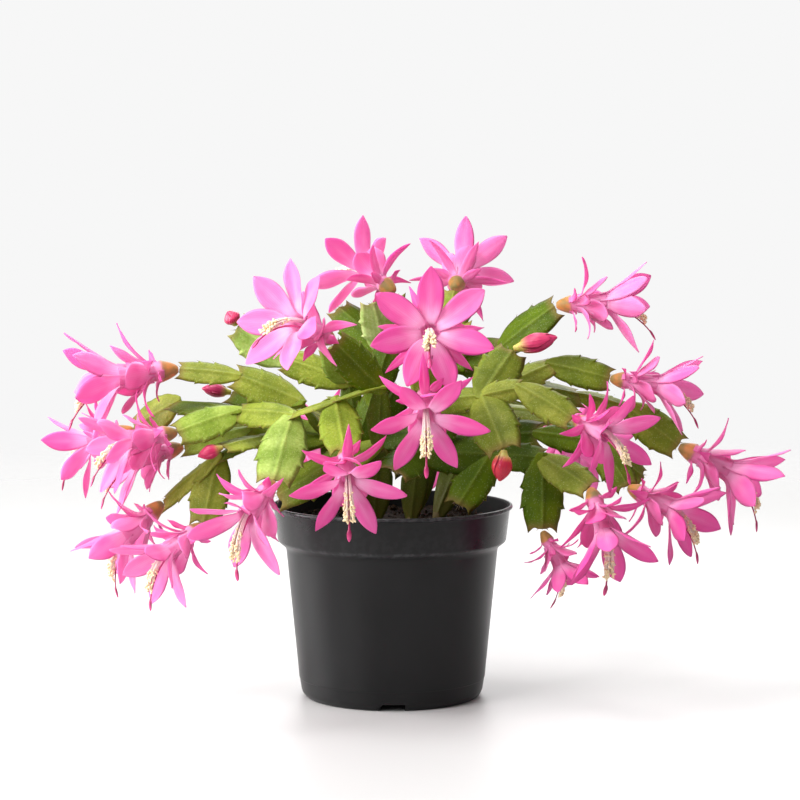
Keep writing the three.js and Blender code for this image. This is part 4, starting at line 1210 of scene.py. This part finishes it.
def style_shell(seated, bloom):
    """The thin style, with the spindle of its closed stigma at the end."""
    size, stigma = bloom.size, STYLE["stigma"] / STYLE["radius"]
    reach = STYLE["reach"] * size
    stations = [(-10, 1), (0, 1), (0.4 * reach, 0.95), (reach - 6.5, 0.95), (reach - 4.9, stigma * 0.7)]
    stations += [(reach - 3.2, stigma), (reach - 1.2, stigma * 0.8), (reach, 0.6)]
    at, radius = rounded(stations, 3).T
    line = droop_line(seated, size, -STYLE["below"], at)
    shell = Shell("along")
    grid = tubes(line[None], radius * STYLE["radius"] * size, 10, seated.side, seated.up)
    shell.add(grid, along=np.clip(at / reach, 0, 1)[None, :, None])
    return shell


def brush_shell(seated, bloom, count, draw):
    """The stamens: filaments that follow the droop line in two loose strands, each with an anther."""
    size = bloom.size
    shell = Shell("along", "anther")
    reach = (9 + 16 * draw.uniform(0, 1, count) ** 0.6) * size
    turn = draw.uniform(0, TAU, count)
    far = draw.uniform(0.15, 1, count) ** 0.5
    strand = np.where(np.cos(turn) > 0, 1.0, -1.0)
    s = np.linspace(0, 1, 7)
    inside = 8 * size
    along = -inside + (reach[:, None] + inside) * s
    line = droop_line(seated, size, 1.2 * size, along)
    spread = (0.5 + 0.5 * np.clip(along / (18 * size), 0, 1) ** 1.2) * size
    aside = (2.4 * far * np.cos(turn) + 0.5 * strand)[:, None] * spread
    above = (2 * far * np.sin(turn) + 0.4)[:, None] * spread
    line = line + aside[..., None] * seated.side + above[..., None] * seated.up
    shell.add(tubes(line, 0.22 * size, 4, seated.side, seated.up), along=s[None, :, None])

    swing = unit(unit(line[:, -1] - line[:, -2]) + 0.9 * swung(turn, seated.side, seated.up))
    swing = unit(swing + 0.4 * draw.normal(size=(count, 3)))
    u = np.array([0.0, 0.25, 0.7, 1.0])
    pods = line[:, -1:] + swing[:, None] * (1.9 * size * (u - 0.3))[None, :, None]
    grid = tubes(pods, np.array([0.36, 0.66, 0.6, 0.24]) * size, 6, *squares_to(swing))
    shell.add(grid, along=1.0, anther=1.0)
    return shell


# ---- Buds ----


def bud_shell(seated, bud, draw):
    """A closed bud: a spindle wrapped by tepals, each a blade laid on it whose edges lift and overlap."""
    shell = Shell("along", "across", "warmth")
    at, radius = rounded(BUD_LINE, 4).T
    core = seated.foot + (at * bud.length)[:, None, None] * seated.along
    spoke = swung(circle(24), seated.side, seated.up)
    core = core + (radius * bud.radius * 0.93)[:, None, None] * spoke
    shell.add(core, along=at[:, None], across=0.3, warmth=bud.warmth)
    c = np.linspace(-1, 1, 11)
    s = np.linspace(0, 0.97, 14)[:, None]
    for k in range(bud.petals):
        inner = k >= bud.petals // 2
        first, last = (0.3, 1.0) if inner else (0.2, draw.uniform(0.84, 0.95))
        on = first + (last - first) * s
        wide = math.radians(62) * np.sin(math.pi * (0.22 + 0.78 * s)) ** 0.6
        lift = 0.97 + 0.1 * c**2 * (0.3 + 0.7 * s) + (0.0 if inner else 0.035)
        out = swung(k * TAU * BUD_TURN + 0.5 * s + wide * c, seated.side, seated.up)
        line = seated.foot + (on * bud.length)[..., None] * seated.along
        height = np.interp(on, at, radius) * bud.radius * lift
        thick = 0.05 * bud.radius * np.sqrt(1 - c**2)
        grid, along, across = blade(line, height, thick, out, on, c)
        shell.add(grid, along=along, across=across, warmth=bud.warmth + 0.12 * draw.uniform(-1, 1))
    return shell


# ---- Settings ----


class CactusPotSettings(bpy.types.PropertyGroup):
    """Sizes and finish of the nursery pot."""

    height: FloatProperty(
        name="Height", description="Height of the pot", default=POT_HEIGHT, min=0.05, max=0.3, unit="LENGTH"
    )
    rim: FloatProperty(
        name="Rim radius", description="Rim's radius", default=POT_RIM, min=0.03, max=0.2, unit="LENGTH"
    )
    notches: IntProperty(name="Notches", description="Notches in the foot ring", default=4, min=0, max=8)
    notch_width: FloatProperty(
        name="Notch width", description="Width of a notch", default=0.014, min=0.002, max=0.03, unit="LENGTH"
    )
    notch_height: FloatProperty(
        name="Notch height", description="Its height", default=0.0037, min=0.001, max=0.01, unit="LENGTH"
    )
    colour: FloatVectorProperty(
        name="Plastic", description="Colour of the plastic", default=(0.003, 0.003, 0.0032), subtype="COLOR",
        min=0, max=1,
    )
    roughness: FloatProperty(
        name="Roughness", description="How dull the plastic is", default=0.34, min=0, max=1, subtype="FACTOR"
    )


class CactusStemSettings(bpy.types.PropertyGroup):
    """Proportions of the stem segments, and what lies on the soil."""

    width_share: FloatProperty(
        name="Width", description="Width of a segment as a share of its length", default=0.6, min=0.3, max=1,
        subtype="FACTOR",
    )
    widest: FloatProperty(
        name="Widest", description="No segment is wider", default=0.025, min=0.01, max=0.05, unit="LENGTH"
    )
    crumbs: IntProperty(name="Crumbs", description="Loose crumbs on the soil", default=420, min=0, max=2000)
    fibres: IntProperty(name="Fibres", description="Threads on the soil", default=160, min=0, max=1000)


class CactusFlowerSettings(bpy.types.PropertyGroup):
    """Colours of the flowers, and how full their stamens are."""

    petal: FloatVectorProperty(
        name="Petal", description="Main colour of the tepals", default=(0.92, 0.2, 0.56), subtype="COLOR",
        min=0, max=1,
    )
    petal_deep: FloatVectorProperty(
        name="Deep", description="Colour of edges and veins", default=(0.76, 0.04, 0.35), subtype="COLOR",
        min=0, max=1,
    )
    petal_pale: FloatVectorProperty(
        name="Pale", description="Colour at the throat", default=(1, 0.66, 0.88), subtype="COLOR",
        min=0, max=1,
    )
    stamens: IntProperty(name="Stamens", description="Stamens in each flower", default=76, min=6, max=160)


class CactusStageSettings(bpy.types.PropertyGroup):
    """Floor, light and camera around the plant."""

    floor_colour: FloatVectorProperty(
        name="Floor", description="Colour of the floor", default=(0.47, 0.465, 0.46), subtype="COLOR",
        min=0, max=1,
    )
    floor_clear: FloatProperty(
        name="Floor reach", description="Where it fades", default=0.45, min=0.2, max=5, unit="LENGTH"
    )
    floor_fade: FloatProperty(
        name="Floor end", description="Where it has faded out", default=1.5, min=0.3, max=10, unit="LENGTH"
    )
    room: FloatProperty(name="Room light", description="Strength of the room", default=0.93, min=0, max=5)
    lens: FloatProperty(
        name="Lens", description="Focal length", default=118.4, min=20, max=300, unit="CAMERA"
    )
    distance: FloatProperty(
        name="Distance", description="Camera's distance", default=1.407, min=0.3, max=5, unit="LENGTH"
    )
    camera_height: FloatProperty(
        name="Camera height", description="Camera's height", default=0.278, min=0, max=3, unit="LENGTH"
    )
    tilt: FloatProperty(
        name="Tilt", description="How far the camera looks down", default=math.radians(4.8), min=0, max=1.5,
        subtype="ANGLE",
    )


# ---- Operators ----


class CACTUS_OT_pot(bpy.types.Operator):
    """Build the nursery pot"""

    bl_idname = "cactus.make_pot"
    bl_label = "Pot"

    def execute(self, context):
        shell = pot_shell(context.scene.cactus_pot)
        obj = place("pot_moulding", shell, satin_black_plastic, "pot", "pot")
        drill(obj, holes=5, radius=4.5, ring=27)
        obj.data.set_sharp_from_angle(angle=math.radians(38))
        return {"FINISHED"}


class CACTUS_OT_soil(bpy.types.Operator):
    """Fill the pot with peat"""

    bl_idname = "cactus.make_soil"
    bl_label = "Soil"

    def execute(self, context):
        settings = context.scene.cactus_stem
        shell = soil_shell(seeded("soil"), settings.crumbs, settings.fibres)
        place("peat_fill", shell, peat, "soil", "soil")
        return {"FINISHED"}


class CACTUS_OT_stems(bpy.types.Operator):
    """Grow the six cuttings, each a chain of toothed segments that forks"""

    bl_idname = "cactus.make_stems"
    bl_label = "Stems"

    def execute(self, context):
        for index, (name, (root, shoots)) in enumerate(CUTTINGS.items()):
            skin, hairs = branches(index, root, shoots, context.scene.cactus_stem, seeded("stem", index))
            place(f"branches_{name}", skin, segment_skin, "stem", f"stem_{name}")
            place(f"bristles_{name}", hairs, bristle, "stem")
        return {"FINISHED"}


def each_seat(plans):
    """Every planned bloom or bud: its name, its plan and the frame that it sits in."""
    for root, shoots in CUTTINGS.values():
        joints = joints_of(root, shoots)
        for name, shoot in shoots.items():
            if shoot.end in plans:
                plan = plans[shoot.end]
                foot_radius = BUD_LINE[0][1] * plan.radius if plans is BUDS else TUBE[0][1]
                yield shoot.end, plan, seat(joints[name], plan.aim, foot_radius)


class CACTUS_OT_flowers(bpy.types.Operator):
    """Grow the flowers: tube, tepals and style"""

    bl_idname = "cactus.make_flowers"
    bl_label = "Flowers"

    def execute(self, context):
        for name, bloom, seated in each_seat(BLOOMS):
            number = name[1:]
            shell = flower_shell(seated, int(number), bloom, seeded("flower", number))
            place(f"flower_{number}", shell, petal_silk, "petal", f"bloom_{number}")
            place(f"style_{number}", style_shell(seated, bloom), style_crimson, "petal")
        return {"FINISHED"}


class CACTUS_OT_stamens(bpy.types.Operator):
    """Grow the brush of stamens in each flower"""

    bl_idname = "cactus.make_stamens"
    bl_label = "Stamens"

    def execute(self, context):
        count = context.scene.cactus_flower.stamens
        for name, bloom, seated in each_seat(BLOOMS):
            number = name[1:]
            shell = brush_shell(seated, bloom, count, seeded("brush", number))
            place(f"brush_{number}", shell, pollen, "stamen", f"stamens_{number}")
        return {"FINISHED"}


class CACTUS_OT_buds(bpy.types.Operator):
    """Grow the closed buds"""

    bl_idname = "cactus.make_buds"
    bl_label = "Buds"

    def execute(self, context):
        for name, bud, seated in each_seat(BUDS):
            shell = bud_shell(seated, bud, seeded("bud", name[-1]))
            place(f"closed_{name}", shell, bud_skin, "bud", name)
        return {"FINISHED"}


def add_area(name, where, aim, size, energy):
    """A square soft white light that looks at the plant's middle, at the height aim."""
    data = bpy.data.lights.new(name, "AREA")
    data.size = size
    data.energy = energy
    light = new_object(name, data)
    light.location = where
    light.rotation_euler = (Vector((0, 0, aim)) - Vector(where)).to_track_quat("-Z", "Y").to_euler()


def room_world(strength):
    """The room's light by direction: white behind the plant and to its left, and dimmer in front and right.

    Seen directly, the room is white all round.
    """
    world = bpy.data.worlds.new("Studio room")
    world.use_nodes = True
    graph = Graph(world.node_tree)
    way = graph.node("ShaderNodeTexCoord").outputs["Generated"]
    parts = graph.node("ShaderNodeSeparateXYZ", {"Vector": way}).outputs
    behind = graph.span(parts["Y"], 0.55, 0.93)
    left = graph.span(graph.times(parts["X"], -1.0), 0.2, 0.9)
    above = graph.span(parts["Z"], 0.1, 0.9)
    bright = graph.math("MAXIMUM", graph.times(left, 1.5), graph.times(above, 0.9))
    seen = graph.node("ShaderNodeLightPath").outputs["Is Camera Ray"]
    lit = graph.math("MAXIMUM", graph.math("MAXIMUM", behind, seen), bright)
    dark = 0.26
    background = world.node_tree.nodes["Background"].inputs
    graph.feed(background["Color"], WHITE)
    graph.feed(background["Strength"], graph.times(graph.add(dark, graph.times(lit, 1 - dark)), strength))
    return world


def floor_shell():
    """A thin round slab with its top at z = 0."""
    rings = around(np.array([4.0, 200, 600, 1200, 2000])[:, None], circle(96), 0.0)
    shell = Shell()
    shell.add(np.concatenate([rings, (rings - (0, 0, 4))[::-1]]))
    return shell


class CACTUS_OT_stage(bpy.types.Operator):
    """Set the pale floor, the soft studio light and the camera"""

    bl_idname = "cactus.make_stage"
    bl_label = "Stage"

    def execute(self, context):
        settings = context.scene.cactus_stage
        floor = new_object("studio_floor", floor_shell().mesh("studio_floor"))
        floor.data.materials.append(material_of(studio_floor))

        context.scene.world = room_world(settings.room)
        add_area("key_light", (-1.4, -1.2, 1.1), aim=0.16, size=1.0, energy=42)
        add_area("top_light", (-0.5, -0.3, 1.8), aim=0.16, size=0.9, energy=30)
        add_area("side_light", (-1.4, 0.2, 0.4), aim=0.08, size=0.8, energy=26)
        add_area("back_light", (0.2, 1.5, 1.3), aim=0.16, size=1.2, energy=24)

        camera = new_object("studio_camera", bpy.data.cameras.new("studio_camera"))
        camera.data.lens = settings.lens
        camera.location = (CAMERA_X, -settings.distance, settings.camera_height)
        camera.rotation_euler = (math.pi / 2 - settings.tilt, 0, 0)
        context.scene.camera = camera
        context.scene.view_settings.view_transform = "Standard"
        return {"FINISHED"}


class CACTUS_PT_panel(bpy.types.Panel):
    """The plant's pieces in the 3D view's sidebar"""

    bl_idname = "CACTUS_PT_panel"
    bl_label = "Christmas cactus"
    bl_space_type = "VIEW_3D"
    bl_region_type = "UI"
    bl_category = "Cactus"

    def draw(self, context):
        for operator in OPERATORS:
            self.layout.operator(operator.bl_idname)
        for group in SETTINGS:
            settings = getattr(context.scene, group)
            box = self.layout.box()
            for name in settings.bl_rna.properties.keys():
                if name not in ("rna_type", "name"):
                    box.prop(settings, name)


OPERATORS = (
    CACTUS_OT_pot,
    CACTUS_OT_soil,
    CACTUS_OT_stems,
    CACTUS_OT_flowers,
    CACTUS_OT_stamens,
    CACTUS_OT_buds,
    CACTUS_OT_stage,
)
SETTINGS = {
    "cactus_pot": CactusPotSettings,
    "cactus_stem": CactusStemSettings,
    "cactus_flower": CactusFlowerSettings,
    "cactus_stage": CactusStageSettings,
}
CLASSES = (*SETTINGS.values(), *OPERATORS, CACTUS_PT_panel)


def register():
    for cls in CLASSES:
        bpy.utils.register_class(cls)
    for name, group in SETTINGS.items():
        setattr(bpy.types.Scene, name, PointerProperty(type=group))


def unregister():
    for name in SETTINGS:
        delattr(bpy.types.Scene, name)
    for cls in reversed(CLASSES):
        bpy.utils.unregister_class(cls)


def main():
    register()
    bpy.ops.cactus.make_pot()
    bpy.ops.cactus.make_soil()
    bpy.ops.cactus.make_stems()
    bpy.ops.cactus.make_flowers()
    bpy.ops.cactus.make_stamens()
    bpy.ops.cactus.make_buds()
    bpy.ops.cactus.make_stage()
    bpy.context.view_layer.update()


if __name__ == "__main__":
    main()
